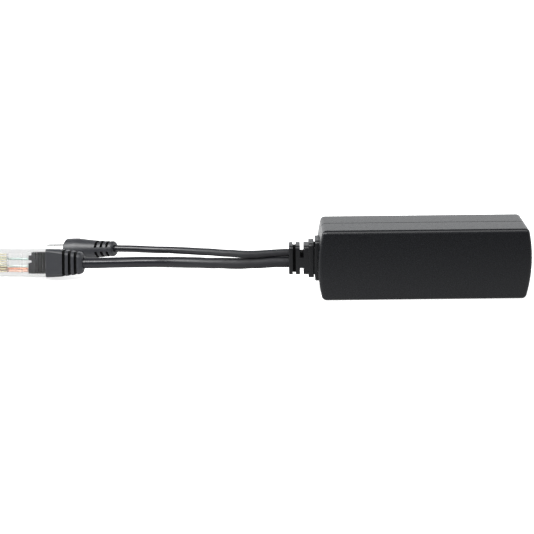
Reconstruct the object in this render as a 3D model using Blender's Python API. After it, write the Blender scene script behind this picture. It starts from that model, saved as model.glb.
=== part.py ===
# A splitter that takes power and data from one network cable and gives them
# out on two short leads: a data plug and a barrel power plug.
# Metres, +Z up. The case stands on one of its long narrow sides, as it is used
# on a desk. The origin is at the middle of the side it stands on, +X points to
# the input jack, and the leads leave the other end and lie back towards +Y.
import bpy
import bmesh
from math import asin, cos, pi, radians, sin, sqrt
from mathutils import Euler, Matrix, Vector

# Gaps between pieces
CLEARANCE = 0.0003
CONTACT_CLEARANCE = 0.00015

# Case
CASE_LENGTH = 0.0840
CASE_HEIGHT = 0.0288
CASE_DEPTH = 0.0232
CASE_END_BOW = 0.0018
CASE_CORNER_RADIUS = 0.0019
CASE_EDGE_RADIUS = 0.0017
CASE_INNER_RADIUS = 0.0004
CASE_WALL = 0.0020
CASE_LIP_HEIGHT = 0.0016
CASE_LIP_THICKNESS = 0.0008
SEAM_GROOVE = 0.0004

# Circuit board and the posts that hold it
BOARD_THICKNESS = 0.0016
BOARD_STANDOFF = 0.0014
BOARD_MARGIN = 0.0009
BOARD_LEAD_END_SPACE = 0.0036
POST_DIAMETER = 0.0034
POST_INSET = 0.0027

# Input jack
JACK_WIDTH = 0.0160
JACK_HEIGHT = 0.0115
JACK_LENGTH = 0.0186
JACK_SETBACK = 0.0011
JACK_ROOF = 0.0013
SOCKET_WIDTH = 0.0119
SOCKET_HEIGHT = 0.0068
SOCKET_LENGTH = 0.0126
SOCKET_STEP_WIDTH = 0.0064
SOCKET_STEP_DEPTH = 0.0015
SOCKET_KEY_WIDTH = 0.0036
SOCKET_KEY_DEPTH = 0.0010
CONTACT_COUNT = 8
CONTACT_PITCH = 0.001016
SPRING_DIAMETER = 0.00044
SPRING_REACH = 0.0070
SPRING_DROP = 0.0020
SPRING_BEND_RADIUS = 0.0004
SPRING_TURN = 155.0

# Parts on the board
LAN_LENGTH = 0.0127
LAN_WIDTH = 0.0070
LAN_HEIGHT = 0.0057
CORE_LENGTH = 0.0110
CORE_WIDTH = 0.0102
CORE_DEPTH = 0.0048
CORE_LEG = 0.0024
CORE_SIDE = 0.00135
CORE_WINDOW_LENGTH = 0.0082
WINDING_DEPTH = 0.0092
WINDING_WIDTH = 0.0060
BOBBIN_CHEEK = 0.0007
CAPACITOR_DIAMETER = 0.0063
CAPACITOR_HEIGHT = 0.0112
CAPACITOR_EDGE = 0.0003
CAPACITOR_GROOVE = 0.0014
INDUCTOR_DIAMETER = 0.0058
INDUCTOR_HEIGHT = 0.0050
INDUCTOR_CHEEK = 0.0009
INDUCTOR_WAIST = 0.0050
RECTIFIER_LENGTH = 0.0047
RECTIFIER_WIDTH = 0.0038
RECTIFIER_HEIGHT = 0.0025
CHIP_LENGTH = 0.0049
CHIP_WIDTH = 0.0039
CHIP_HEIGHT = 0.0016
CHIP_EDGE = 0.0002
COUPLER_LENGTH = 0.0044
COUPLER_WIDTH = 0.0030
COUPLER_HEIGHT = 0.0021
DIODE_LENGTH = 0.0043
DIODE_WIDTH = 0.0026
DIODE_HEIGHT = 0.0023
PIN_THICKNESS = 0.0002
PIN_REACH = 0.0008

# Cable gland on the lead end
GLAND_FLANGE_OUT = 0.0010
GLAND_FLANGE_HEIGHT = 0.0168
GLAND_FLANGE_DEPTH = 0.0096
GLAND_COLLAR_GAP = 0.00045
GLAND_COLLAR_LENGTH = 0.00215
GLAND_COLLAR_HEIGHT = 0.0143
GLAND_COLLAR_DEPTH = 0.0086
GLAND_BLOCK_LENGTH = 0.00195
GLAND_WIDE_SLOT = 0.00145
GLAND_MIDDLE_RING = 0.0017
GLAND_NARROW_SLOT = 0.0012
GLAND_END_RING = 0.00155
GLAND_RING_HEIGHT = 0.0121
GLAND_RING_DEPTH = 0.0075
GLAND_CORNER_RADIUS = 0.0014
GLAND_EDGE = 0.00025
GLAND_WIDE_SLOT_CUT = 0.0030
GLAND_POCKET_HEIGHT = 0.0017
GLAND_POCKET_DEPTH = 0.0019
GLAND_NARROW_SLOT_CUT = 0.0006
GLAND_NARROW_SLOT_BRIDGE = 0.0026
GLAND_NECK_HEIGHT = 0.0100
GLAND_NECK_DEPTH = 0.0062
GLAND_BARB_HEIGHT = 0.0128
GLAND_BARB_DEPTH = 0.0088
GLAND_BARB_LENGTH = 0.0014
GLAND_SOCKET_DEPTH = 0.0015

# Cords: jacket diameters, how far below or above the case's middle each one
# leaves the gland, and the bare leads that go on from the gland to the board
DATA_CORD_DIAMETER = 0.0045
POWER_CORD_DIAMETER = 0.0030
DATA_CORD_DROP = 0.0015
POWER_CORD_RISE = 0.0024
CORD_POINT_SPACING = 0.0075
LEAD_DIAMETER = 0.0011
LEAD_PITCH = 0.00127
LEAD_PAD_PITCH = 0.00165
LEAD_POINT_SPACING = 0.0018

# Data plug, in its own frame: X to the nose, Z out of the contact face
DATA_PLUG_REAR = (-0.1546, 0.0203, 0.00695)
DATA_PLUG_YAW = 3.4
DATA_PLUG_LEAN = 14.0
PLUG_LENGTH = 0.02146
PLUG_WIDTH = 0.01168
PLUG_THICKNESS = 0.0066
PLUG_EDGE = 0.0004
PLUG_CAVITY_LENGTH = 0.0082
PLUG_CAVITY_WIDTH = 0.0096
PLUG_CAVITY_THICKNESS = 0.0050
PLUG_SLOT_LENGTH = 0.0051
PLUG_BLADE_LENGTH = 0.0040
PLUG_BLADE_THICKNESS = 0.00036
PLUG_BLADE_SINK = 0.0005
PLUG_WIRE_DIAMETER = 0.0009
PLUG_NOSE_WALL = 0.0008
CRIMP_BAR_START = 0.0101
CRIMP_BAR_LENGTH = 0.0025
CRIMP_BAR_DEPTH = 0.0014
JACKET_BAR_START = 0.0036
JACKET_BAR_LENGTH = 0.0039
JACKET_BAR_DEPTH = 0.0006
LATCH_WIDTH = 0.0060
LATCH_TIP_WIDTH = 0.0032
LATCH_THICKNESS = 0.0011
LATCH_OVERHANG = 0.0002
LATCH_ROOT = 0.0009
LATCH_SHOULDER = 0.0090
LATCH_LENGTH = 0.0168
LATCH_RISE = 0.0034
WIRED_PINS = (1, 2, 3, 6)

# Moulded boot behind the data plug
BOOT_LENGTH = 0.0156
BOOT_FRONT_WIDTH = 0.0119
BOOT_FRONT_THICKNESS = 0.0088
BOOT_RIB_WIDTH = 0.0113
BOOT_RIB_THICKNESS = 0.0085
BOOT_REAR_WIDTH = 0.0093
BOOT_REAR_THICKNESS = 0.0073
BOOT_CORNER_RADIUS = 0.0012
BOOT_CORNER_GROWTH = 0.1
BOOT_END_ROUND = 0.0019
BOOT_END_TURN = 75.0
BOOT_BLOCK_LENGTH = 0.0063
BOOT_SLOT = 0.0011
BOOT_SLOT_PITCH = 0.00275
BOOT_SLOT_COUNT = 3
BOOT_SLOT_RIM = 0.0005
BOOT_SLOT_DEPTH = 0.0016
BOOT_RECESS = 0.0013
BOOT_TONGUE_LENGTH = 0.0062
BOOT_TONGUE_STEP = 0.0015
TONGUE_GROOVE = 0.0005
TONGUE_GROOVE_PITCH = 0.0012
TONGUE_GROOVE_DEPTH = 0.0005
TONGUE_GROOVE_COUNT = 4

# Barrel power plug, in its own frame: X to the nose
POWER_PLUG_FRONT = (-0.1497, 0.0445, 0.0050)
POWER_PLUG_YAW = 23.0
POWER_PLUG_PITCH = 7.6
POWER_PLUG_ROLL = 10.0
GRIP_LENGTH = 0.0240
GRIP_DIAMETER = 0.0098
GRIP_REAR_DIAMETER = 0.0066
GRIP_STRAIGHT = 0.0056
GRIP_TAPER_EASE = 1.6
GRIP_EDGE = 0.0006
GRIP_END_ROUND = 0.0011
GRIP_BORE_DEPTH = 0.0030
GRIP_RECESS = 0.0013
GRIP_SLOT = 0.0012
GRIP_SLOT_PITCH = 0.0027
GRIP_SLOT_COUNT = 3
GRIP_SLOT_START = 0.0155
GRIP_CORE_DIAMETER = 0.0046
GRIP_SPINE = 0.0018
BARREL_LENGTH = 0.0102
BARREL_DIAMETER = 0.0055
BARREL_WALL = 0.0004
INSULATOR_WALL = 0.0005
PIN_HOLE_DIAMETER = 0.0021
PIN_HOLE_SETBACK = 0.0005

# Facets
ROUND_STEPS = 24
PART_STEPS = 20
HOLE_STEPS = 16
POST_STEPS = 12
TAPER_STEPS = 6
CORNER_STEPS = 3
EDGE_STEPS = 3
BEND_STEPS = 3
END_STEPS = 8
CURVE_STEPS = 20

# Places that several pieces share
CASE_MIDDLE = CASE_HEIGHT / 2
CASE_END = CASE_LENGTH / 2
DATA_CORD_HEIGHT = CASE_MIDDLE - DATA_CORD_DROP
POWER_CORD_HEIGHT = CASE_MIDDLE + POWER_CORD_RISE
INNER_FACE = CASE_DEPTH / 2 - CASE_WALL
BOARD_BACK = INNER_FACE - BOARD_STANDOFF
BOARD_FRONT = BOARD_BACK - BOARD_THICKNESS
PART_SEAT = BOARD_FRONT - CLEARANCE
JACK_FACE = CASE_END - JACK_SETBACK
JACK_REAR = JACK_FACE - JACK_LENGTH
JACK_TOP = PART_SEAT - JACK_HEIGHT
SOCKET_ROOF = JACK_TOP + JACK_ROOF
BOARD_LEFT = -CASE_END + CASE_WALL + BOARD_LEAD_END_SPACE
POST_HEIGHTS = (CASE_WALL + POST_INSET, CASE_HEIGHT - CASE_WALL - POST_INSET)
POST_STATIONS = (BOARD_LEFT + POST_INSET, JACK_REAR - POST_INSET)
BOARD_LOW = CASE_WALL + BOARD_MARGIN
BOARD_HIGH = CASE_HEIGHT - CASE_WALL - BOARD_MARGIN
GLAND_TIP = -(CASE_END + GLAND_FLANGE_OUT + GLAND_COLLAR_GAP + GLAND_COLLAR_LENGTH
              + GLAND_BLOCK_LENGTH + GLAND_WIDE_SLOT + GLAND_MIDDLE_RING
              + GLAND_NARROW_SLOT + GLAND_END_RING)
CORD_START = GLAND_TIP + GLAND_SOCKET_DEPTH - CLEARANCE
GLAND_INNER_END = -CASE_END + CASE_WALL + CASE_END_BOW / 2 + CLEARANCE + GLAND_BARB_LENGTH

# The bends of an inner lead: its share of the way along the case, towards the
# board and to its pad's height
LEAD_BENDS = (
    (0.35, 0.0, 0.0),
    (0.70, 0.22, 0.33),
    (0.93, 0.55, 0.75),
)

# The cords' routes between the gland and the plugs, chosen by hand: straight
# out of the gland, sinking a little, and back to each plug's own axis.
DATA_ROUTE = (
    (-0.0592, 0.0001, 0.0129),
    (-0.0618, 0.0003, 0.0127),
    (-0.0654, 0.0009, 0.0123),
    (-0.0691, 0.0020, 0.0119),
    (-0.0728, 0.0037, 0.0112),
    (-0.0769, 0.0057, 0.0106),
    (-0.0811, 0.0078, 0.0101),
    (-0.0853, 0.0099, 0.0094),
    (-0.0900, 0.0123, 0.0089),
    (-0.0947, 0.0145, 0.0083),
    (-0.0994, 0.0165, 0.0078),
    (-0.1041, 0.0180, 0.0074),
    (-0.1088, 0.0190, 0.0072),
    (-0.1135, 0.0195, 0.0071),
    (-0.1181, 0.0197, 0.0070),
    (-0.1228, 0.0196, 0.0070),
    (-0.1274, 0.0194, 0.0070),
    (-0.1319, 0.0192, 0.0070),
)
POWER_ROUTE = (
    (-0.0593, 0.0000, 0.0167),
    (-0.0622, 0.0001, 0.0166),
    (-0.0654, 0.0003, 0.0164),
    (-0.0690, 0.0010, 0.0161),
    (-0.0727, 0.0024, 0.0158),
    (-0.0767, 0.0046, 0.0153),
    (-0.0810, 0.0073, 0.0146),
    (-0.0852, 0.0102, 0.0141),
    (-0.0899, 0.0135, 0.0133),
    (-0.0947, 0.0168, 0.0126),
    (-0.0995, 0.0199, 0.0119),
    (-0.1044, 0.0229, 0.0112),
    (-0.1092, 0.0255, 0.0105),
    (-0.1143, 0.0282, 0.0099),
    (-0.1192, 0.0310, 0.0093),
)


# Scene and materials

def clear_scene():
    for item in list(bpy.data.objects):
        bpy.data.objects.remove(item, do_unlink=True)


def material(name, colour, roughness, metallic=0.0):
    result = bpy.data.materials.new(name)
    result.use_nodes = True
    shader = result.node_tree.nodes["Principled BSDF"]
    shader.inputs["Base Color"].default_value = (*colour, 1.0)
    shader.inputs["Roughness"].default_value = roughness
    shader.inputs["Metallic"].default_value = metallic
    return result


# Building helpers

def along_x(first, second, height):
    return Vector((height, first, second))


def along_y(first, second, height):
    return Vector((first, height, second))


def new_object(name, shape, finish, parent=None):
    bmesh.ops.recalc_face_normals(shape, faces=shape.faces)
    mesh = bpy.data.meshes.new(name)
    shape.to_mesh(mesh)
    shape.free()
    mesh.materials.append(finish)
    result = bpy.data.objects.new(name, mesh)
    result.parent = parent
    bpy.context.collection.objects.link(result)
    return result


def tool_object(target, role, shape):
    result = new_object(f"{target.name}_{role}", shape, target.data.materials[0], target.parent)
    result.hide_render = True
    result.display_type = "WIRE"
    return result


def combine(target, role, shape, operation):
    tool = tool_object(target, role, shape)
    modifier = target.modifiers.new(role, "BOOLEAN")
    modifier.operation = operation
    modifier.solver = "EXACT"
    modifier.object = tool
    return tool


def cut(target, role, shape):
    return combine(target, role, shape, "DIFFERENCE")


def fuse(target, role, shape):
    return combine(target, role, shape, "UNION")


def prism(outline, low, high, place):
    shape = bmesh.new()
    base = shape.faces.new([shape.verts.new(place(a, b, low)) for a, b in outline])
    grown = bmesh.ops.extrude_face_region(shape, geom=[base])
    moved = [item for item in grown["geom"] if isinstance(item, bmesh.types.BMVert)]
    bmesh.ops.translate(shape, verts=moved, vec=place(0, 0, high) - place(0, 0, low))
    return shape


def box(low, high):
    low_corner = Vector(low)
    size = Vector(high) - low_corner
    shape = bmesh.new()
    bmesh.ops.create_cube(shape, size=1.0)
    bmesh.ops.translate(shape, verts=shape.verts, vec=(0.5, 0.5, 0.5))
    bmesh.ops.scale(shape, verts=shape.verts, vec=size)
    bmesh.ops.translate(shape, verts=shape.verts, vec=low_corner)
    return shape


def centred_box(centre, size):
    low = [c - s / 2 for c, s in zip(centre, size)]
    high = [c + s / 2 for c, s in zip(centre, size)]
    return box(low, high)


def merge(target, other):
    mesh = bpy.data.meshes.new("merge")
    other.to_mesh(mesh)
    other.free()
    target.from_mesh(mesh)
    bpy.data.meshes.remove(mesh)
    return target


def bevel(shape, edges, width, segments):
    bmesh.ops.bevel(shape, geom=list(edges), offset=width, segments=segments,
                    profile=0.5, affect="EDGES", clamp_overlap=True)
    return shape


def rounded_rectangle(width, height, radius, centre=(0.0, 0.0), steps=CORNER_STEPS):
    points = []
    corners = ((1, 1, 0), (-1, 1, 90), (-1, -1, 180), (1, -1, 270))
    for side, rise, start in corners:
        middle_a = centre[0] + side * (width / 2 - radius)
        middle_b = centre[1] + rise * (height / 2 - radius)
        for step in range(steps + 1):
            angle = radians(start + 90 * step / steps)
            points.append((middle_a + radius * cos(angle), middle_b + radius * sin(angle)))
    return points


def loft(sections, place):
    shape = bmesh.new()
    rings = []
    for station, outline in sections:
        rings.append([shape.verts.new(place(a, b, station)) for a, b in outline])
    for near, far in zip(rings, rings[1:]):
        for index in range(len(near)):
            following = (index + 1) % len(near)
            shape.faces.new((near[index], near[following], far[following], far[index]))
    shape.faces.new(rings[0])
    shape.faces.new(rings[-1])
    return shape


def turned(profile, axis, steps=ROUND_STEPS):
    # The profile holds (station, radius) pairs, closed on itself or on the axis.
    shape = bmesh.new()
    away = Vector((0, 0, 1)) if abs(axis.z) < 0.5 else Vector((1, 0, 0))
    points = [shape.verts.new(axis * station + away * radius) for station, radius in profile]
    edges = [shape.edges.new(pair) for pair in zip(points, points[1:])]
    if profile[0][1] > 0:
        edges.append(shape.edges.new((points[-1], points[0])))
    bmesh.ops.spin(shape, geom=points + edges, cent=(0, 0, 0), axis=axis,
                   angle=2 * pi, steps=steps, use_merge=True)
    bmesh.ops.remove_doubles(shape, verts=shape.verts, dist=1e-6)
    return shape


def smooth_by_angle(item, angle=35):
    item.data.shade_smooth()
    item.data.set_sharp_from_angle(angle=radians(angle))
    return item


def curve_through(points, spacing):
    # A Catmull-Rom curve through the points, read at about equal distances.
    fine = []
    padded = [points[0] * 2 - points[1], *points, points[-1] * 2 - points[-2]]
    for before, start, end, after in zip(padded, padded[1:], padded[2:], padded[3:]):
        for step in range(CURVE_STEPS):
            t = step / CURVE_STEPS
            fine.append(0.5 * (2 * start + (end - before) * t
                               + (2 * before - 5 * start + 4 * end - after) * t ** 2
                               + (3 * start - before - 3 * end + after) * t ** 3))
    fine.append(points[-1])
    total = sum((b - a).length for a, b in zip(fine, fine[1:]))
    count = max(2, round(total / spacing))
    result = [fine[0]]
    walked = 0.0
    for a, b in zip(fine, fine[1:]):
        walked += (b - a).length
        if walked >= total * len(result) / count - 1e-9 and len(result) < count:
            result.append(b)
    result.append(fine[-1])
    return result


def tube(name, points, diameter, finish, resolution=2):
    curve = bpy.data.curves.new(name, "CURVE")
    curve.dimensions = "3D"
    curve.bevel_depth = diameter / 2
    curve.bevel_resolution = resolution
    curve.use_fill_caps = True
    spline = curve.splines.new("POLY")
    spline.points.add(len(points) - 1)
    for target, place in zip(spline.points, points):
        target.co = (*place, 1.0)
    curve.materials.append(finish)
    result = bpy.data.objects.new(name, curve)
    bpy.context.collection.objects.link(result)
    return result


# Case

def end_arc_radius(height):
    return (height ** 2 / 4 + CASE_END_BOW ** 2) / (2 * CASE_END_BOW)


def case_outline(inset):
    # A rectangle whose short ends are bowed outwards, moved in by the inset.
    arc_radius = end_arc_radius(CASE_HEIGHT) - inset
    arc_centre = CASE_END - inset - arc_radius
    half_height = CASE_HEIGHT / 2 - inset
    radius = max(CASE_CORNER_RADIUS - inset, CASE_INNER_RADIUS)
    corner_x = arc_centre + sqrt((arc_radius - radius) ** 2 - (half_height - radius) ** 2)
    meeting = asin((half_height - radius) / (arc_radius - radius))
    end = []
    for step in range(CORNER_STEPS + 1):
        angle = pi / 2 + (meeting - pi / 2) * step / CORNER_STEPS
        end.append((corner_x + radius * cos(angle), half_height - radius + radius * sin(angle)))
    for step in range(1, END_STEPS):
        angle = meeting - 2 * meeting * step / END_STEPS
        end.append((arc_centre + arc_radius * cos(angle), arc_radius * sin(angle)))
    end += [(x, -z) for x, z in reversed(end[:CORNER_STEPS + 1])]
    outline = end + [(-x, -z) for x, z in end]
    return [(x, z + CASE_MIDDLE) for x, z in outline]


def cover_blank(face, seam):
    shape = prism(case_outline(0), face, seam, along_y)
    rim = [edge for edge in shape.edges if all(abs(v.co.y - face) < 1e-7 for v in edge.verts)]
    return bevel(shape, rim, CASE_EDGE_RADIUS, EDGE_STEPS)


def neck_opening():
    outline = rounded_rectangle(GLAND_NECK_DEPTH + 2 * CLEARANCE, GLAND_NECK_HEIGHT + 2 * CLEARANCE,
                                GLAND_CORNER_RADIUS, (0, CASE_MIDDLE))
    return prism(outline, -CASE_END - CASE_WALL, -CASE_END + CASE_WALL + CASE_END_BOW, along_x)


def jack_opening():
    middle = (JACK_TOP + PART_SEAT) / 2
    low = (JACK_REAR + SOCKET_LENGTH, middle - JACK_HEIGHT / 2 - CLEARANCE,
           CASE_MIDDLE - JACK_WIDTH / 2 - CLEARANCE)
    high = (CASE_END + CASE_WALL, middle + JACK_HEIGHT / 2 + CLEARANCE,
            CASE_MIDDLE + JACK_WIDTH / 2 + CLEARANCE)
    return box(low, high)


def posts(low, high):
    shape = bmesh.new()
    for station in POST_STATIONS:
        for height in POST_HEIGHTS:
            peg = turned(((low, 0), (low, POST_DIAMETER / 2), (high, POST_DIAMETER / 2), (high, 0)),
                         Vector((0, 1, 0)), POST_STEPS)
            bmesh.ops.translate(peg, verts=peg.verts, vec=(station, 0, height))
            merge(shape, peg)
    return shape


def front_cover(finish):
    # The large face towards the viewer, its half of the walls, and long posts.
    face = -CASE_DEPTH / 2
    seam = -SEAM_GROOVE / 2
    cover = new_object("front_cover", cover_blank(face, seam), finish)
    cut(cover, "hollow", prism(case_outline(CASE_WALL), face + CASE_WALL, CASE_WALL, along_y))
    rebate_inset = CASE_WALL - CASE_LIP_THICKNESS - CLEARANCE
    cut(cover, "rebate", prism(case_outline(rebate_inset), seam - CASE_LIP_HEIGHT, CASE_WALL, along_y))
    fuse(cover, "posts", posts(face + CASE_WALL / 2, BOARD_FRONT - CLEARANCE))
    cut(cover, "neck_opening", neck_opening())
    cut(cover, "jack_opening", jack_opening())


def rear_cover(finish):
    # The plain large face, its half of the walls, the lip and short posts.
    face = CASE_DEPTH / 2
    seam = SEAM_GROOVE / 2
    lip_end = seam - SEAM_GROOVE - CASE_LIP_HEIGHT + CLEARANCE
    cover = new_object("rear_cover", cover_blank(face, seam), finish)
    fuse(cover, "lip", prism(case_outline(CASE_WALL - CASE_LIP_THICKNESS), lip_end,
                             seam + CASE_WALL, along_y))
    cut(cover, "hollow", prism(case_outline(CASE_WALL), -CASE_DEPTH / 2, INNER_FACE, along_y))
    fuse(cover, "posts", posts(BOARD_BACK + CLEARANCE, INNER_FACE + CASE_WALL / 2))
    cut(cover, "neck_opening", neck_opening())
    cut(cover, "jack_opening", jack_opening())


# Cable gland

def gland_block(length_start, length, height, depth):
    # Lengths run away from the case, towards -X.
    outline = rounded_rectangle(depth, height, GLAND_CORNER_RADIUS, (0, CASE_MIDDLE))
    shape = prism(outline, length_start - length, length_start, along_x)
    ends = [edge for edge in shape.edges
            if abs(edge.verts[0].co.x - edge.verts[1].co.x) < 1e-7]
    return bevel(shape, ends, GLAND_EDGE, 1)


def gland_wide_slots(start):
    shape = bmesh.new()
    for side in (-1, 1):
        edge = CASE_MIDDLE + side * GLAND_RING_HEIGHT / 2
        reach = edge - side * GLAND_WIDE_SLOT_CUT
        beyond = edge + side * GLAND_WIDE_SLOT_CUT
        low = (start - GLAND_WIDE_SLOT, -GLAND_RING_DEPTH, min(reach, beyond))
        high = (start, GLAND_RING_DEPTH, max(reach, beyond))
        merge(shape, box(low, high))
    return shape


def gland_pockets(start):
    # Steps down both sides of the core that the wide slots leave, open at its top.
    top = CASE_MIDDLE + GLAND_RING_HEIGHT / 2 - GLAND_WIDE_SLOT_CUT
    shape = bmesh.new()
    for side in (-1, 1):
        face = side * GLAND_RING_DEPTH / 2
        inner = face - side * GLAND_POCKET_DEPTH
        outer = face + side * GLAND_POCKET_DEPTH
        merge(shape, box((start - GLAND_WIDE_SLOT, min(inner, outer), top - GLAND_POCKET_HEIGHT),
                         (start, max(inner, outer), top + GLAND_POCKET_DEPTH)))
    return shape


def cable_gland(finish):
    flange = -CASE_END - GLAND_FLANGE_OUT
    collar = flange - GLAND_COLLAR_GAP
    block = collar - GLAND_COLLAR_LENGTH
    wide_slot = block - GLAND_BLOCK_LENGTH
    narrow_slot = wide_slot - GLAND_WIDE_SLOT - GLAND_MIDDLE_RING
    flange_length = GLAND_FLANGE_OUT + CASE_END_BOW
    gland = new_object("cable_gland", gland_block(-CASE_END + CASE_END_BOW, flange_length,
                                                  GLAND_FLANGE_HEIGHT, GLAND_FLANGE_DEPTH), finish)
    cut(gland, "case_end", prism(case_outline(-CLEARANCE), -CASE_DEPTH, CASE_DEPTH, along_y))
    neck = rounded_rectangle(GLAND_NECK_DEPTH, GLAND_NECK_HEIGHT, GLAND_CORNER_RADIUS, (0, CASE_MIDDLE))
    fuse(gland, "neck", prism(neck, flange + GLAND_FLANGE_OUT / 2,
                              GLAND_INNER_END - GLAND_BARB_LENGTH / 2, along_x))
    barb = rounded_rectangle(GLAND_BARB_DEPTH, GLAND_BARB_HEIGHT, GLAND_CORNER_RADIUS, (0, CASE_MIDDLE))
    fuse(gland, "barb", prism(barb, GLAND_INNER_END - GLAND_BARB_LENGTH, GLAND_INNER_END, along_x))
    fuse(gland, "collar_link", gland_block(flange + GLAND_FLANGE_OUT / 2,
                                           GLAND_FLANGE_OUT / 2 + GLAND_COLLAR_GAP + GLAND_COLLAR_LENGTH / 2,
                                           GLAND_RING_HEIGHT, GLAND_RING_DEPTH))
    fuse(gland, "collar", gland_block(collar, GLAND_COLLAR_LENGTH, GLAND_COLLAR_HEIGHT, GLAND_COLLAR_DEPTH))
    ring_root = block + GLAND_COLLAR_LENGTH / 2
    fuse(gland, "rings", gland_block(ring_root, ring_root - GLAND_TIP, GLAND_RING_HEIGHT, GLAND_RING_DEPTH))
    cut(gland, "wide_slot", gland_wide_slots(wide_slot))
    cut(gland, "pockets", gland_pockets(wide_slot))
    groove = cut(gland, "narrow_slot", box(
        (narrow_slot - GLAND_NARROW_SLOT, -GLAND_RING_DEPTH, CASE_MIDDLE - GLAND_RING_HEIGHT),
        (narrow_slot, GLAND_RING_DEPTH, CASE_MIDDLE + GLAND_RING_HEIGHT)))
    cut(groove, "core", centred_box(
        (narrow_slot - GLAND_NARROW_SLOT / 2, 0, CASE_MIDDLE),
        (GLAND_NARROW_SLOT * 2, GLAND_NARROW_SLOT_BRIDGE, GLAND_RING_HEIGHT - 2 * GLAND_NARROW_SLOT_CUT)))
    for role, diameter, height in (("data_socket", DATA_CORD_DIAMETER, DATA_CORD_HEIGHT),
                                   ("power_socket", POWER_CORD_DIAMETER, POWER_CORD_HEIGHT)):
        radius = diameter / 2 + CONTACT_CLEARANCE
        hole = turned(((GLAND_TIP - GLAND_SOCKET_DEPTH, 0), (GLAND_TIP - GLAND_SOCKET_DEPTH, radius),
                       (GLAND_TIP + GLAND_SOCKET_DEPTH, radius), (GLAND_TIP + GLAND_SOCKET_DEPTH, 0)),
                      Vector((1, 0, 0)), HOLE_STEPS)
        bmesh.ops.translate(hole, verts=hole.verts, vec=(0, 0, height))
        cut(gland, role, hole)


# Circuit board and input jack

def main_board(finish):
    inner_reach = CASE_END - CASE_WALL - CASE_END_BOW
    low = (BOARD_LEFT, BOARD_FRONT, BOARD_LOW)
    high = (inner_reach, BOARD_BACK, BOARD_HIGH)
    new_object("main_board", box(low, high), finish)


def socket_band(width, top, bottom, length):
    low = (JACK_FACE - length, top, CASE_MIDDLE - width / 2)
    high = (JACK_FACE + CASE_WALL, bottom, CASE_MIDDLE + width / 2)
    return box(low, high)


def input_jack_housing(finish):
    low = (JACK_REAR, JACK_TOP, CASE_MIDDLE - JACK_WIDTH / 2)
    high = (JACK_FACE, PART_SEAT, CASE_MIDDLE + JACK_WIDTH / 2)
    housing = new_object("input_jack_housing", box(low, high), finish)
    floor = SOCKET_ROOF + SOCKET_HEIGHT
    step = floor + SOCKET_STEP_DEPTH
    overlap = SOCKET_STEP_DEPTH / 2
    cut(housing, "socket", socket_band(SOCKET_WIDTH, SOCKET_ROOF, floor, SOCKET_LENGTH))
    cut(housing, "latch_step", socket_band(SOCKET_STEP_WIDTH, floor - overlap, step, SOCKET_LENGTH))
    cut(housing, "latch_key", socket_band(SOCKET_KEY_WIDTH, step - overlap, step + SOCKET_KEY_DEPTH,
                                          SOCKET_LENGTH))
    slot_width = CONTACT_COUNT * CONTACT_PITCH + SPRING_DIAMETER
    slot_height = SPRING_DIAMETER + 2 * CLEARANCE
    low = (JACK_REAR - CASE_WALL, SOCKET_ROOF, CASE_MIDDLE - slot_width / 2)
    high = (JACK_FACE - SOCKET_LENGTH / 2, SOCKET_ROOF + slot_height, CASE_MIDDLE + slot_width / 2)
    cut(housing, "spring_slot", box(low, high))


def jack_contact(number, finish):
    # A bent spring wire: up from the board, along the roof, and back on itself.
    height = CASE_MIDDLE + (number - (CONTACT_COUNT + 1) / 2) * CONTACT_PITCH
    line = SOCKET_ROOF + CLEARANCE + SPRING_DIAMETER / 2
    back = JACK_REAR - CLEARANCE - SPRING_DIAMETER / 2
    front = JACK_FACE - CASE_WALL
    flat = [(back, PART_SEAT), (back, line + SPRING_BEND_RADIUS), (back + SPRING_BEND_RADIUS, line)]
    for step in range(BEND_STEPS + 1):
        angle = radians(-90 + SPRING_TURN * step / BEND_STEPS)
        flat.append((front + SPRING_BEND_RADIUS * cos(angle),
                     line + SPRING_BEND_RADIUS + SPRING_BEND_RADIUS * sin(angle)))
    flat.append((front - SPRING_REACH, SOCKET_ROOF + SPRING_DROP))
    points = [Vector((x, y, height)) for x, y in flat]
    tube(f"jack_contact_{number}", points, SPRING_DIAMETER, finish, 1)


# Parts on the board. Each stands on the board's face, so its height runs to -Y.

def legs(centre_x, centre_z, length, width, count, across_x):
    # Flat pins along two opposite sides, low against the board.
    shape = bmesh.new()
    pitch = (width if across_x else length) / (count + 1)
    side_face = (length if across_x else width) / 2
    inner = side_face - PIN_REACH / 2
    outer = side_face + PIN_REACH
    thickness = 2 * PIN_THICKNESS
    for side in (-1, 1):
        for index in range(count):
            offset = (index - (count - 1) / 2) * pitch
            centre = side * (inner + outer) / 2
            if across_x:
                middle = (centre_x + centre, PART_SEAT - thickness / 2, centre_z + offset)
                extent = (outer - inner, thickness, pitch / 2)
            else:
                middle = (centre_x + offset, PART_SEAT - thickness / 2, centre_z + centre)
                extent = (pitch / 2, thickness, outer - inner)
            merge(shape, centred_box(middle, extent))
    return shape


def chip(name, place, size, count, across_x, finish):
    centre_x, centre_z = place
    length, width, height = size
    foot = PART_SEAT - PIN_THICKNESS
    body = box((centre_x - length / 2, foot - height, centre_z - width / 2),
               (centre_x + length / 2, foot, centre_z + width / 2))
    top = [edge for edge in body.edges if all(v.co.y < foot - height / 2 for v in edge.verts)]
    bevel(body, top, CHIP_EDGE, 1)
    item = new_object(name, body, finish)
    fuse(item, "legs", legs(centre_x, centre_z, length, width, count, across_x))


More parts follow.
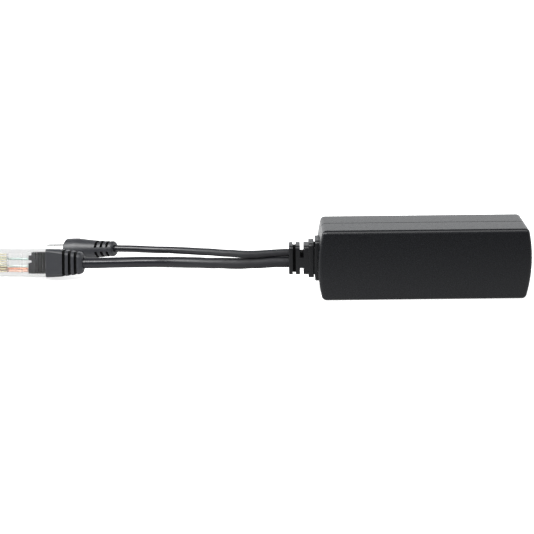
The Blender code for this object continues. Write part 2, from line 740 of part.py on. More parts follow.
def capacitor(name, place, finish):
    radius = CAPACITOR_DIAMETER / 2
    edge = CAPACITOR_EDGE
    groove = CAPACITOR_GROOVE
    profile = ((0, 0), (0, radius - edge), (edge, radius), (groove, radius),
               (groove + edge, radius - edge), (groove + 2 * edge, radius - edge),
               (groove + 3 * edge, radius), (CAPACITOR_HEIGHT - edge, radius),
               (CAPACITOR_HEIGHT, radius - edge), (CAPACITOR_HEIGHT, 0))
    item = new_object(name, turned(profile, Vector((0, -1, 0)), PART_STEPS), finish)
    item.location = (place[0], PART_SEAT, place[1])
    smooth_by_angle(item)


def output_inductor(place, finish):
    radius = INDUCTOR_DIAMETER / 2
    cheek = INDUCTOR_CHEEK
    waist = INDUCTOR_WAIST / 2
    profile = ((0, 0), (0, radius), (cheek, radius), (cheek, waist),
               (INDUCTOR_HEIGHT - cheek, waist), (INDUCTOR_HEIGHT - cheek, radius),
               (INDUCTOR_HEIGHT, radius), (INDUCTOR_HEIGHT, 0))
    item = new_object("output_inductor", turned(profile, Vector((0, -1, 0)), PART_STEPS), finish)
    item.location = (place[0], PART_SEAT, place[1])
    smooth_by_angle(item)


def power_transformer(place, core_finish, winding_finish):
    # A ferrite frame with two windows, and a wound bobbin on its middle leg.
    centre_x, centre_z = place
    middle_y = PART_SEAT - WINDING_DEPTH / 2 - BOBBIN_CHEEK
    core = new_object("power_transformer_core", centred_box(
        (centre_x, middle_y, centre_z), (CORE_LENGTH, CORE_DEPTH, CORE_WIDTH)), core_finish)
    window = (CORE_WIDTH - CORE_LEG) / 2 - CORE_SIDE
    windows = bmesh.new()
    for side in (-1, 1):
        offset = side * (CORE_LEG + window) / 2
        merge(windows, centred_box((centre_x, middle_y, centre_z + offset),
                                   (CORE_WINDOW_LENGTH, CORE_DEPTH * 2, window)))
    cut(core, "windows", windows)
    length = CORE_WINDOW_LENGTH - 2 * CLEARANCE
    bobbin = new_object("power_transformer_bobbin", centred_box(
        (centre_x, middle_y, centre_z),
        (length - BOBBIN_CHEEK, WINDING_DEPTH, WINDING_WIDTH)), winding_finish)
    cheeks = bmesh.new()
    for side in (-1, 1):
        station = centre_x + side * (length - BOBBIN_CHEEK) / 2
        merge(cheeks, centred_box((station, middle_y, centre_z),
                                  (BOBBIN_CHEEK, WINDING_DEPTH + 2 * BOBBIN_CHEEK,
                                   WINDING_WIDTH + BOBBIN_CHEEK)))
    fuse(bobbin, "cheeks", cheeks)
    cut(bobbin, "leg_hole", centred_box((centre_x, middle_y, centre_z),
                                        (CORE_LENGTH, CORE_DEPTH + 2 * CLEARANCE, CORE_LEG + 2 * CLEARANCE)))


def column_middles(lengths):
    # The middles of the board's columns of parts, from the jack to the leads.
    start = JACK_REAR - CLEARANCE - SPRING_DIAMETER
    room = start - (BOARD_LEFT + 2 * POST_INSET)
    gap = (room - sum(lengths)) / (len(lengths) + 1)
    middles = []
    for length in lengths:
        middles.append(start - gap - length / 2)
        start -= gap + length
    return middles


def inner_lead(name, start_height, end_height, finish):
    # A wire from the gland's inner end, bent down to its pad on the board.
    start = Vector((GLAND_INNER_END + CLEARANCE, 0, start_height))
    pad = Vector((BOARD_LEFT + POST_INSET, PART_SEAT, end_height))
    points = [start]
    for along, across, upright in LEAD_BENDS:
        points.append(Vector((start.x + (pad.x - start.x) * along,
                              start.y + (pad.y - start.y) * across,
                              start.z + (pad.z - start.z) * upright)))
    points.append(pad)
    tube(name, curve_through(points, LEAD_POINT_SPACING), LEAD_DIAMETER, finish, 1)


# Data plug

def plug_frame():
    # X runs to the nose, Z out of the contact face, which leans back a little.
    yaw = radians(DATA_PLUG_YAW)
    lean = radians(DATA_PLUG_LEAN)
    nose = Vector((-cos(yaw), sin(yaw), 0))
    side = Vector((0, 0, 1)).cross(nose).normalized()
    face = side * cos(lean) + Vector((0, 0, 1)) * sin(lean)
    down = face.cross(nose)
    frame = bpy.data.objects.new("data_plug_frame", None)
    bpy.context.collection.objects.link(frame)
    frame.matrix_world = Matrix.Translation(DATA_PLUG_REAR) @ Matrix((nose, down, face)).transposed().to_4x4()
    return frame


def pin_place(number):
    return ((CONTACT_COUNT + 1) / 2 - number) * CONTACT_PITCH


def plug_latch():
    # A tongue that springs from the nose and rises to its tip over the rear.
    root = PLUG_LENGTH - LATCH_ROOT
    tip = PLUG_LENGTH - LATCH_LENGTH
    shoulder = PLUG_LENGTH - LATCH_SHOULDER
    sections = []
    for station, width in ((root, LATCH_WIDTH), (shoulder, LATCH_WIDTH),
                           (shoulder - LATCH_THICKNESS, LATCH_TIP_WIDTH), (tip, LATCH_TIP_WIDTH)):
        rise = LATCH_RISE * (root - station) / (root - tip)
        low = -PLUG_THICKNESS / 2 - rise - LATCH_OVERHANG
        high = low + LATCH_THICKNESS
        half = width / 2
        sections.append((station, ((-half, low), (half, low), (half, high), (-half, high))))
    return loft(sections, along_x)


def data_plug_body(frame, finish):
    half = PLUG_THICKNESS / 2
    shell = centred_box((PLUG_LENGTH / 2, 0, 0), (PLUG_LENGTH, PLUG_WIDTH, PLUG_THICKNESS))
    bevel(shell, shell.edges, PLUG_EDGE, 1)
    body = new_object("data_plug_body", shell, finish, frame)
    fuse(body, "latch", plug_latch())
    cut(body, "cavity", centred_box((0, 0, 0), (2 * PLUG_CAVITY_LENGTH, PLUG_CAVITY_WIDTH,
                                                PLUG_CAVITY_THICKNESS)))
    channel_width = CONTACT_COUNT * CONTACT_PITCH + CONTACT_CLEARANCE
    channel_height = PLUG_WIRE_DIAMETER + 2 * CONTACT_CLEARANCE
    cut(body, "wire_channel", box(
        (PLUG_CAVITY_LENGTH / 2, -channel_width / 2, -channel_height / 2),
        (PLUG_LENGTH - PLUG_NOSE_WALL, channel_width / 2, channel_height / 2)))
    slots = bmesh.new()
    slot_width = PLUG_BLADE_THICKNESS + 2 * CONTACT_CLEARANCE
    for number in range(1, CONTACT_COUNT + 1):
        middle = pin_place(number)
        merge(slots, box((PLUG_LENGTH - PLUG_SLOT_LENGTH, middle - slot_width / 2, 0),
                         (PLUG_LENGTH - PLUG_NOSE_WALL / 2, middle + slot_width / 2, PLUG_THICKNESS)))
    cut(body, "contact_slots", slots)
    for role, start, length, depth in (("crimp_bar", CRIMP_BAR_START, CRIMP_BAR_LENGTH, CRIMP_BAR_DEPTH),
                                       ("jacket_bar", JACKET_BAR_START, JACKET_BAR_LENGTH, JACKET_BAR_DEPTH)):
        cut(body, role, box((start, -channel_width / 2, half - depth),
                            (start + length, channel_width / 2, PLUG_THICKNESS)))


def plug_contact(number, frame, finish):
    # A blade in its slot, its crest a little below the plug's face.
    crest = PLUG_THICKNESS / 2 - PLUG_BLADE_SINK
    foot = PLUG_WIRE_DIAMETER / 2 + CONTACT_CLEARANCE
    front = PLUG_LENGTH - PLUG_NOSE_WALL - CONTACT_CLEARANCE
    rear = front - PLUG_BLADE_LENGTH
    corner = PLUG_BLADE_THICKNESS
    outline = ((rear, foot), (rear, crest - corner), (rear + corner, crest),
               (front - corner, crest), (front, crest - corner), (front, foot))
    middle = pin_place(number)
    blade = prism(outline, middle - PLUG_BLADE_THICKNESS / 2, middle + PLUG_BLADE_THICKNESS / 2, along_y)
    new_object(f"data_plug_contact_{number}", blade, finish, frame)


def plug_wire(number, frame, finish):
    start = BOOT_TONGUE_LENGTH + BOOT_TONGUE_STEP + CLEARANCE
    end = PLUG_LENGTH - PLUG_NOSE_WALL - CLEARANCE
    middle = pin_place(number)
    wire = tube(f"data_wire_{number}", [Vector((start, middle, 0)), Vector(((start + end) / 2, middle, 0)),
                                        Vector((end, middle, 0))], PLUG_WIRE_DIAMETER, finish, 1)
    wire.parent = frame


def boot_section(station, width, thickness):
    radius = min(BOOT_CORNER_RADIUS + station * BOOT_CORNER_GROWTH, thickness / 2 - CLEARANCE)
    return -station, rounded_rectangle(width, thickness, radius)


def data_plug_boot(frame, finish):
    # Stations run back from the plug, towards -X of the plug's frame.
    rear = BOOT_LENGTH - BOOT_END_ROUND
    sections = [boot_section(CLEARANCE, BOOT_FRONT_WIDTH, BOOT_FRONT_THICKNESS),
                boot_section(BOOT_BLOCK_LENGTH, BOOT_RIB_WIDTH, BOOT_RIB_THICKNESS),
                boot_section(rear, BOOT_REAR_WIDTH, BOOT_REAR_THICKNESS)]
    for step in range(1, BEND_STEPS + 1):
        angle = radians(BOOT_END_TURN * step / BEND_STEPS)
        back = BOOT_END_ROUND * sin(angle)
        shrink = 2 * BOOT_END_ROUND * (1 - cos(angle))
        sections.append(boot_section(rear + back, BOOT_REAR_WIDTH - shrink, BOOT_REAR_THICKNESS - shrink))
    boot = new_object("data_plug_boot", loft(sections, along_x), finish, frame)
    smooth_by_angle(boot)
    tongue_width = PLUG_CAVITY_WIDTH - 2 * CLEARANCE
    tongue_thickness = PLUG_CAVITY_THICKNESS - 2 * CLEARANCE
    fuse(boot, "tongue", box((-BOOT_BLOCK_LENGTH / 2, -tongue_width / 2, -tongue_thickness / 2),
                             (BOOT_TONGUE_LENGTH, tongue_width / 2, tongue_thickness / 2)))
    fuse(boot, "tongue_step", box((BOOT_TONGUE_LENGTH / 2, CONTACT_PITCH, -tongue_thickness / 3),
                                  (BOOT_TONGUE_LENGTH + BOOT_TONGUE_STEP, tongue_width / 2,
                                   tongue_thickness / 3)))
    grooves = bmesh.new()
    for index in range(TONGUE_GROOVE_COUNT):
        start = TONGUE_GROOVE + index * TONGUE_GROOVE_PITCH
        merge(grooves, box((start, -tongue_width, -tongue_thickness),
                           (start + TONGUE_GROOVE, tongue_width, tongue_thickness)))
    groove_tool = cut(boot, "tongue_grooves", grooves)
    cut(groove_tool, "core", centred_box((0, 0, 0), (2 * BOOT_TONGUE_LENGTH,
                                                     tongue_width - 2 * TONGUE_GROOVE_DEPTH,
                                                     tongue_thickness - 2 * TONGUE_GROOVE_DEPTH)))
    slots = bmesh.new()
    for index in range(BOOT_SLOT_COUNT):
        start = -BOOT_BLOCK_LENGTH - index * BOOT_SLOT_PITCH
        merge(slots, box((start - BOOT_SLOT, -BOOT_FRONT_WIDTH, -BOOT_FRONT_THICKNESS),
                         (start, BOOT_FRONT_WIDTH, BOOT_FRONT_THICKNESS)))
    slot_tool = cut(boot, "slots", slots)
    core = loft([(-station, rounded_rectangle(width - 2 * BOOT_SLOT_RIM, thickness - 2 * BOOT_SLOT_DEPTH,
                                              BOOT_SLOT_DEPTH / 2))
                 for station, width, thickness in ((0, BOOT_FRONT_WIDTH, BOOT_FRONT_THICKNESS),
                                                   (BOOT_BLOCK_LENGTH, BOOT_RIB_WIDTH, BOOT_RIB_THICKNESS),
                                                   (BOOT_LENGTH, BOOT_REAR_WIDTH, BOOT_REAR_THICKNESS))],
                along_x)
    cut(slot_tool, "core", core)
    radius = DATA_CORD_DIAMETER / 2 + CONTACT_CLEARANCE
    recess = turned(((-BOOT_LENGTH - BOOT_RECESS, 0), (-BOOT_LENGTH - BOOT_RECESS, radius),
                     (-BOOT_LENGTH + BOOT_RECESS, radius), (-BOOT_LENGTH + BOOT_RECESS, 0)),
                    Vector((1, 0, 0)), HOLE_STEPS)
    cut(boot, "recess", recess)


# Power plug

def power_plug_frame():
    yaw = radians(POWER_PLUG_YAW)
    pitch = radians(POWER_PLUG_PITCH)
    nose = Vector((-cos(yaw) * cos(pitch), sin(yaw) * cos(pitch), -sin(pitch)))
    turn = nose.to_track_quat("X", "Z").to_matrix() @ Euler((radians(POWER_PLUG_ROLL), 0, 0)).to_matrix()
    frame = bpy.data.objects.new("power_plug_frame", None)
    bpy.context.collection.objects.link(frame)
    frame.matrix_world = Matrix.Translation(POWER_PLUG_FRONT) @ turn.to_4x4()
    return frame


def grip_radius(station):
    # The grip's outer radius at a distance back from its front.
    start = GRIP_STRAIGHT
    end = GRIP_LENGTH - GRIP_END_ROUND
    share = min(max((station - start) / (end - start), 0), 1)
    ease = 1 - (1 - share) ** GRIP_TAPER_EASE
    return (GRIP_DIAMETER + (GRIP_REAR_DIAMETER - GRIP_DIAMETER) * ease) / 2


def power_plug_grip(frame, finish):
    bore = BARREL_DIAMETER / 2 + CLEARANCE
    rear_hole = POWER_CORD_DIAMETER / 2 + CONTACT_CLEARANCE
    shoulder = GRIP_EDGE * (1 - cos(pi / 4))
    profile = [(-GRIP_BORE_DEPTH, 0), (-GRIP_BORE_DEPTH, bore), (0, bore),
               (0, GRIP_DIAMETER / 2 - GRIP_EDGE), (-shoulder, GRIP_DIAMETER / 2 - shoulder),
               (-GRIP_EDGE, GRIP_DIAMETER / 2)]
    taper_end = GRIP_LENGTH - GRIP_END_ROUND
    for step in range(TAPER_STEPS + 1):
        station = GRIP_STRAIGHT + (taper_end - GRIP_STRAIGHT) * step / TAPER_STEPS
        profile.append((-station, grip_radius(station)))
    for step in range(1, BEND_STEPS + 1):
        angle = radians(90 * step / BEND_STEPS)
        profile.append((-taper_end - GRIP_END_ROUND * sin(angle),
                        GRIP_REAR_DIAMETER / 2 - GRIP_END_ROUND * (1 - cos(angle))))
    profile += [(-GRIP_LENGTH, rear_hole), (-GRIP_LENGTH + GRIP_RECESS, rear_hole),
                (-GRIP_LENGTH + GRIP_RECESS, 0)]
    grip = new_object("power_plug_grip", turned(profile, Vector((1, 0, 0))), finish, frame)
    smooth_by_angle(grip)
    rings = bmesh.new()
    for index in range(GRIP_SLOT_COUNT):
        start = -GRIP_SLOT_START - index * GRIP_SLOT_PITCH
        merge(rings, turned(((start, GRIP_CORE_DIAMETER / 2), (start, GRIP_DIAMETER),
                             (start - GRIP_SLOT, GRIP_DIAMETER), (start - GRIP_SLOT, GRIP_CORE_DIAMETER / 2)),
                            Vector((1, 0, 0))))
    slot_tool = cut(grip, "slots", rings)
    cut(slot_tool, "spine", centred_box((-GRIP_LENGTH / 2, 0, 0),
                                        (GRIP_LENGTH * 2, GRIP_DIAMETER * 3, GRIP_SPINE)))


def ring_profile(rear, front, inner, outer, edge):
    return ((rear, inner), (rear, outer), (front - edge, outer), (front, outer - edge), (front, inner))


def power_plug_barrel(frame, metal, insulation, pin_metal):
    rear = -GRIP_BORE_DEPTH + CLEARANCE
    outer = BARREL_DIAMETER / 2
    inner = outer - BARREL_WALL
    insulator_outer = inner - CONTACT_CLEARANCE
    insulator_inner = insulator_outer - INSULATOR_WALL
    pin_outer = insulator_inner - CONTACT_CLEARANCE
    axis = Vector((1, 0, 0))
    sleeve = new_object("power_plug_sleeve", turned(
        ring_profile(rear, BARREL_LENGTH, inner, outer, BARREL_WALL / 2), axis), metal, frame)
    insulator = new_object("power_plug_insulator", turned(
        ring_profile(rear, BARREL_LENGTH - CONTACT_CLEARANCE, insulator_inner, insulator_outer,
                     CONTACT_CLEARANCE), axis), insulation, frame)
    pin_front = BARREL_LENGTH - PIN_HOLE_SETBACK
    pin_tube = new_object("power_plug_centre_tube", turned(
        ring_profile(rear, pin_front, PIN_HOLE_DIAMETER / 2, pin_outer, CONTACT_CLEARANCE), axis),
        pin_metal, frame)
    for item in (sleeve, insulator, pin_tube):
        smooth_by_angle(item)


# Cords

def cord_route(start_height, route, frame, rear):
    # Straight out of the gland, along the route, and into the plug on its axis.
    first = Vector((CORD_START, 0, start_height))
    leave = Vector((GLAND_TIP - CORD_POINT_SPACING / 3, 0, start_height))
    enter = frame.matrix_world @ Vector((-rear - CORD_POINT_SPACING / 3, 0, 0))
    last = frame.matrix_world @ Vector((-rear, 0, 0))
    return [first, leave, *[Vector(place) for place in route], enter, last]


def cords(data_frame, power_frame, data_finish, power_finish):
    data_rear = BOOT_LENGTH - BOOT_RECESS + CLEARANCE
    data_points = cord_route(DATA_CORD_HEIGHT, DATA_ROUTE, data_frame, data_rear)
    tube("data_cord", curve_through(data_points, CORD_POINT_SPACING), DATA_CORD_DIAMETER, data_finish, 3)
    power_rear = GRIP_LENGTH - GRIP_RECESS + CLEARANCE
    power_points = cord_route(POWER_CORD_HEIGHT, POWER_ROUTE, power_frame, power_rear)
    tube("power_cord", curve_through(power_points, CORD_POINT_SPACING), POWER_CORD_DIAMETER, power_finish, 2)


# The whole splitter

def build():
    clear_scene()
    case_plastic = material("case_plastic", (0.030, 0.031, 0.033), 0.55)
    soft_black = material("soft_black", (0.035, 0.035, 0.038), 0.45)
    cord_black = material("cord_black", (0.028, 0.028, 0.032), 0.35)
    jack_plastic = material("jack_plastic", (0.020, 0.020, 0.020), 0.50)
    board_green = material("board_green", (0.020, 0.160, 0.060), 0.45)
    gold = material("gold", (0.850, 0.620, 0.250), 0.25, 1.0)
    nickel = material("nickel", (0.780, 0.780, 0.760), 0.20, 1.0)
    ferrite = material("ferrite", (0.060, 0.060, 0.062), 0.65)
    winding = material("winding_tape", (0.700, 0.520, 0.060), 0.50)
    chip_black = material("chip_black", (0.025, 0.025, 0.027), 0.60)
    can_sleeve = material("can_sleeve", (0.020, 0.030, 0.070), 0.35)
    clear_plastic = material("clear_plastic", (0.900, 0.920, 0.920), 0.10)
    insulation = material("plug_insulation", (0.040, 0.040, 0.040), 0.50)
    orange = material("orange_wire", (0.850, 0.230, 0.080), 0.45)
    pale_orange = material("pale_orange_wire", (0.900, 0.620, 0.480), 0.45)
    green = material("green_wire", (0.060, 0.400, 0.200), 0.45)
    pale_green = material("pale_green_wire", (0.550, 0.760, 0.660), 0.45)
    red = material("red_wire", (0.600, 0.020, 0.020), 0.45)

    front_cover(case_plastic)
    rear_cover(case_plastic)
    cable_gland(soft_black)
    main_board(board_green)
    input_jack_housing(jack_plastic)
    for number in range(1, CONTACT_COUNT + 1):
        jack_contact(number, gold)

    lan_x, control_x, transformer_x, output_x = column_middles(
        (LAN_LENGTH, CAPACITOR_DIAMETER, CORE_LENGTH, CAPACITOR_DIAMETER))
    low_edge = BOARD_LOW + CLEARANCE
    high_edge = BOARD_HIGH - CLEARANCE
    chip("lan_transformer", (lan_x, CASE_MIDDLE), (LAN_LENGTH, LAN_WIDTH, LAN_HEIGHT), 8, False, chip_black)
    rectifier = (RECTIFIER_LENGTH, RECTIFIER_WIDTH, RECTIFIER_HEIGHT)
    rectifier_x = lan_x - (LAN_LENGTH - RECTIFIER_LENGTH) / 2 + PIN_REACH
    chip("bridge_rectifier_1", (rectifier_x, high_edge - RECTIFIER_WIDTH / 2), rectifier, 2, True, chip_black)
    chip("bridge_rectifier_2", (rectifier_x, low_edge + RECTIFIER_WIDTH / 2), rectifier, 2, True, chip_black)
    capacitor("input_capacitor", (control_x, high_edge - CAPACITOR_DIAMETER / 2), can_sleeve)
    chip("controller_chip", (control_x, low_edge + CHIP_WIDTH / 2 + PIN_REACH),
         (CHIP_LENGTH, CHIP_WIDTH, CHIP_HEIGHT), 4, False, chip_black)
    power_transformer((transformer_x, CASE_MIDDLE), ferrite, winding)
    chip("optocoupler", (transformer_x, low_edge + COUPLER_WIDTH / 2),
         (COUPLER_LENGTH, COUPLER_WIDTH, COUPLER_HEIGHT), 2, True, chip_black)
    chip("output_diode", (transformer_x, high_edge - DIODE_WIDTH / 2),
         (DIODE_LENGTH, DIODE_WIDTH, DIODE_HEIGHT), 1, True, chip_black)
    capacitor("output_capacitor", (output_x, high_edge - CAPACITOR_DIAMETER / 2), can_sleeve)
    output_inductor((output_x, low_edge + INDUCTOR_DIAMETER / 2), ferrite)

    lead_finishes = {1: pale_orange, 2: orange, 3: pale_green, 6: green}
    leads = [(f"inner_data_lead_{number}", DATA_CORD_HEIGHT, (index - 1.5), lead_finishes[number])
             for index, number in enumerate(WIRED_PINS)]
    leads += [("inner_power_lead_negative", POWER_CORD_HEIGHT, -0.5, chip_black),
              ("inner_power_lead_positive", POWER_CORD_HEIGHT, 0.5, red)]
    for index, (name, cord_height, place, finish) in enumerate(leads):
        start_height = cord_height + place * LEAD_PITCH
        end_height = CASE_MIDDLE + (index - (len(leads) - 1) / 2) * LEAD_PAD_PITCH
        inner_lead(name, start_height, end_height, finish)

    data_frame = plug_frame()
    data_plug_body(data_frame, clear_plastic)
    data_plug_boot(data_frame, soft_black)
    for number in range(1, CONTACT_COUNT + 1):
        plug_contact(number, data_frame, gold)
    for number in WIRED_PINS:
        plug_wire(number, data_frame, lead_finishes[number])

    power_frame = power_plug_frame()
    power_plug_grip(power_frame, soft_black)
    power_plug_barrel(power_frame, nickel, insulation, nickel)
    cords(data_frame, power_frame, cord_black, cord_black)


build()
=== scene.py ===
from math import asin, cos, pi, radians, sin, sqrt

import bmesh
import bpy
from mathutils import Euler, Matrix, Vector, noise


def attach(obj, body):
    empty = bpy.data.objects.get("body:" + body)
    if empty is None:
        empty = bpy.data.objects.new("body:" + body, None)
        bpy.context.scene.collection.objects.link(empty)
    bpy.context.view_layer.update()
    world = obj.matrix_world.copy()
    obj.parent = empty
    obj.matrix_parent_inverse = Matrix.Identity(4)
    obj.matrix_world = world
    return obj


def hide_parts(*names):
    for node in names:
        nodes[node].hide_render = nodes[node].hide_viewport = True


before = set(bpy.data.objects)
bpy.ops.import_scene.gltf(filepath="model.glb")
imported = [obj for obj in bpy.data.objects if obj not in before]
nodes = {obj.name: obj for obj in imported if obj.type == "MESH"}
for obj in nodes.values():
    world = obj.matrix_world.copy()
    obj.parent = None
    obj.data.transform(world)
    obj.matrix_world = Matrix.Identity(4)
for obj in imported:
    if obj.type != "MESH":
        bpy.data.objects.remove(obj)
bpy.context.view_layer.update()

# Sizes that the part's source has too
CLEARANCE = 0.0003
CONTACT_CLEARANCE = 0.00015
CASE_LENGTH = 0.0840
CASE_HEIGHT = 0.0288
CASE_DEPTH = 0.0232
CASE_END_BOW = 0.0018
CASE_CORNER_RADIUS = 0.0019
CASE_INNER_RADIUS = 0.0004
CASE_EDGE_RADIUS = 0.0017
CASE_WALL = 0.0020
CASE_LIP_HEIGHT = 0.0016
CASE_LIP_THICKNESS = 0.0008
SEAM_GROOVE = 0.0004
CASE_MIDDLE = CASE_HEIGHT / 2
CASE_END = CASE_LENGTH / 2
INNER_FACE = CASE_DEPTH / 2 - CASE_WALL

JACK_WIDTH = 0.0160
JACK_HEIGHT = 0.0115
JACK_REAR = 0.0223
SOCKET_LENGTH = 0.0126
PART_SEAT = 0.0063

GLAND_FLANGE_OUT = 0.0010
GLAND_FLANGE_HEIGHT = 0.0168
GLAND_FLANGE_DEPTH = 0.0096
GLAND_COLLAR_GAP = 0.00045
GLAND_COLLAR_LENGTH = 0.00215
GLAND_COLLAR_HEIGHT = 0.0143
GLAND_COLLAR_DEPTH = 0.0086
GLAND_BLOCK_LENGTH = 0.00195
GLAND_WIDE_SLOT = 0.00145
GLAND_MIDDLE_RING = 0.0017
GLAND_NARROW_SLOT = 0.0012
GLAND_END_RING = 0.00155
GLAND_RING_HEIGHT = 0.0121
GLAND_RING_DEPTH = 0.0075
GLAND_CORNER_RADIUS = 0.0014
GLAND_WIDE_SLOT_CUT = 0.0030
GLAND_POCKET_HEIGHT = 0.0017
GLAND_POCKET_DEPTH = 0.0019
GLAND_NARROW_SLOT_CUT = 0.0006
GLAND_NARROW_SLOT_BRIDGE = 0.0026
GLAND_NECK_HEIGHT = 0.0100
GLAND_NECK_DEPTH = 0.0062
GLAND_BARB_HEIGHT = 0.0128
GLAND_BARB_DEPTH = 0.0088
GLAND_BARB_LENGTH = 0.0014
GLAND_SOCKET_DEPTH = 0.0015
GLAND_TIP = -(CASE_END + GLAND_FLANGE_OUT + GLAND_COLLAR_GAP + GLAND_COLLAR_LENGTH
              + GLAND_BLOCK_LENGTH + GLAND_WIDE_SLOT + GLAND_MIDDLE_RING
              + GLAND_NARROW_SLOT + GLAND_END_RING)
GLAND_INNER_END = -CASE_END + CASE_WALL + CASE_END_BOW / 2 + CLEARANCE + GLAND_BARB_LENGTH

DATA_CORD_DIAMETER = 0.0045
POWER_CORD_DIAMETER = 0.0030
DATA_CORD_HEIGHT = CASE_MIDDLE - 0.0015
POWER_CORD_HEIGHT = CASE_MIDDLE + 0.0024
CORD_POINT_SPACING = 0.0075
CORD_START = GLAND_TIP + GLAND_SOCKET_DEPTH - CLEARANCE

DATA_PLUG_REAR = (-0.1546, 0.0203, 0.00695)
DATA_PLUG_YAW = 3.4
DATA_PLUG_LEAN = 14.0
CONTACT_COUNT = 8
CONTACT_PITCH = 0.001016
PLUG_LENGTH = 0.02146
PLUG_WIDTH = 0.01168
PLUG_THICKNESS = 0.0066
PLUG_EDGE = 0.0004
PLUG_CAVITY_LENGTH = 0.0082
PLUG_CAVITY_WIDTH = 0.0096
PLUG_CAVITY_THICKNESS = 0.0050
PLUG_SLOT_LENGTH = 0.0051
PLUG_BLADE_LENGTH = 0.0040
PLUG_BLADE_THICKNESS = 0.00036
PLUG_BLADE_SINK = 0.0005
PLUG_WIRE_DIAMETER = 0.0009
PLUG_NOSE_WALL = 0.0008
CRIMP_BAR_START = 0.0101
CRIMP_BAR_LENGTH = 0.0025
CRIMP_BAR_DEPTH = 0.0014
JACKET_BAR_START = 0.0036
JACKET_BAR_LENGTH = 0.0039
JACKET_BAR_DEPTH = 0.0006
LATCH_WIDTH = 0.0060
LATCH_TIP_WIDTH = 0.0032
LATCH_THICKNESS = 0.0011
LATCH_OVERHANG = 0.0002
LATCH_ROOT = 0.0009
LATCH_SHOULDER = 0.0090
LATCH_LENGTH = 0.0168
LATCH_RISE = 0.0034

BOOT_LENGTH = 0.0156
BOOT_FRONT_WIDTH = 0.0119
BOOT_FRONT_THICKNESS = 0.0088
BOOT_RIB_WIDTH = 0.0113
BOOT_RIB_THICKNESS = 0.0085
BOOT_REAR_WIDTH = 0.0093
BOOT_REAR_THICKNESS = 0.0073
BOOT_CORNER_RADIUS = 0.0012
BOOT_CORNER_GROWTH = 0.1
BOOT_END_ROUND = 0.0019
BOOT_END_TURN = 75.0
BOOT_BLOCK_LENGTH = 0.0063
BOOT_SLOT = 0.0011
BOOT_SLOT_COUNT = 3
BOOT_SLOT_RIM = 0.0005
BOOT_SLOT_DEPTH = 0.0016
BOOT_RECESS = 0.0013
BOOT_TONGUE_LENGTH = 0.0062
BOOT_TONGUE_STEP = 0.0015
TONGUE_GROOVE = 0.0005
TONGUE_GROOVE_PITCH = 0.0012
TONGUE_GROOVE_COUNT = 4

POWER_PLUG_FRONT = (-0.1497, 0.0445, 0.0050)
POWER_PLUG_YAW = 23.0
POWER_PLUG_PITCH = 7.6
POWER_PLUG_ROLL = 10.0
GRIP_LENGTH = 0.0240
GRIP_DIAMETER = 0.0098
GRIP_REAR_DIAMETER = 0.0066
GRIP_STRAIGHT = 0.0056
GRIP_TAPER_EASE = 1.6
GRIP_EDGE = 0.0006
GRIP_END_ROUND = 0.0011
GRIP_BORE_DEPTH = 0.0030
GRIP_RECESS = 0.0013
GRIP_SLOT = 0.0012
GRIP_SLOT_PITCH = 0.0027
GRIP_SLOT_COUNT = 3
GRIP_SLOT_START = 0.0155
GRIP_CORE_DIAMETER = 0.0046
GRIP_SPINE = 0.0018
BARREL_LENGTH = 0.0102
BARREL_DIAMETER = 0.0055
BARREL_WALL = 0.0004

DATA_ROUTE = (
    (-0.0592, 0.0001, 0.0129), (-0.0618, 0.0003, 0.0127), (-0.0654, 0.0009, 0.0123),
    (-0.0691, 0.0020, 0.0119), (-0.0728, 0.0037, 0.0112), (-0.0769, 0.0057, 0.0106),
    (-0.0811, 0.0078, 0.0101), (-0.0853, 0.0099, 0.0094), (-0.0900, 0.0123, 0.0089),
    (-0.0947, 0.0145, 0.0083), (-0.0994, 0.0165, 0.0078), (-0.1041, 0.0180, 0.0074),
    (-0.1088, 0.0190, 0.0072), (-0.1135, 0.0195, 0.0071), (-0.1181, 0.0197, 0.0070),
    (-0.1228, 0.0196, 0.0070), (-0.1274, 0.0194, 0.0070), (-0.1319, 0.0192, 0.0070),
)
# Near the gland this route lies up to 0.2 mm lower than the part's own
POWER_ROUTE = (
    (-0.0593, 0.0000, 0.01665), (-0.0622, 0.0001, 0.01645), (-0.0654, 0.0003, 0.0162),
    (-0.0690, 0.0010, 0.0159), (-0.0727, 0.0024, 0.0156), (-0.0767, 0.0046, 0.0152),
    (-0.0810, 0.0073, 0.0146), (-0.0852, 0.0102, 0.0141), (-0.0899, 0.0135, 0.0133),
    (-0.0947, 0.0168, 0.0126), (-0.0995, 0.0199, 0.0119), (-0.1044, 0.0229, 0.0112),
    (-0.1092, 0.0255, 0.0105), (-0.1143, 0.0282, 0.0099), (-0.1192, 0.0310, 0.0093),
)

# Looks: facets, softened edges and what counts as the same place
CORNER_STEPS = 8
BEND_STEPS = 6
END_STEPS = 40
ROUND_STEPS = 64
HOLE_STEPS = 40
TAPER_STEPS = 16
CURVE_STEPS = 20
WIRE_STEPS = 12
SMOOTH_ANGLE = 35
SOFT_EDGE = 0.00012
BLADE_SOFT_EDGE = 0.00004
GLAND_EDGE = 0.00035
SEATED_GAP = 0.00004
SAME_PLACE = 1e-7
WELD_DISTANCE = 1e-6
SPAN_SLACK = 1e-6
LENGTH_SLACK = 1e-9
FLAT_NORMAL = 0.99
STEEP_NORMAL = 0.9
NARROW_FACE_AREA = 0.000006
X_AXIS = Vector((1, 0, 0))

# Looks: slots and grooves of the boot, where the photograph has them
BOOT_SLOT_START = 0.0072
BOOT_SLOT_PITCH = 0.00242
TONGUE_GROOVE_DEPTH = 0.0009

# Looks: the cords, with the lengths that their fitted routes give, and the wires
CORD_LOOK_SPACING = 0.0010
UNEVENNESS_SCALE = 90
WIRE_COLOURS = {1: "pale_orange", 2: "orange", 3: "pale_green", 6: "green"}
JACKET_DULL_FROM = -0.110
JACKET_DULL_TO = -0.070
JACKET_DULLNESS = 0.45

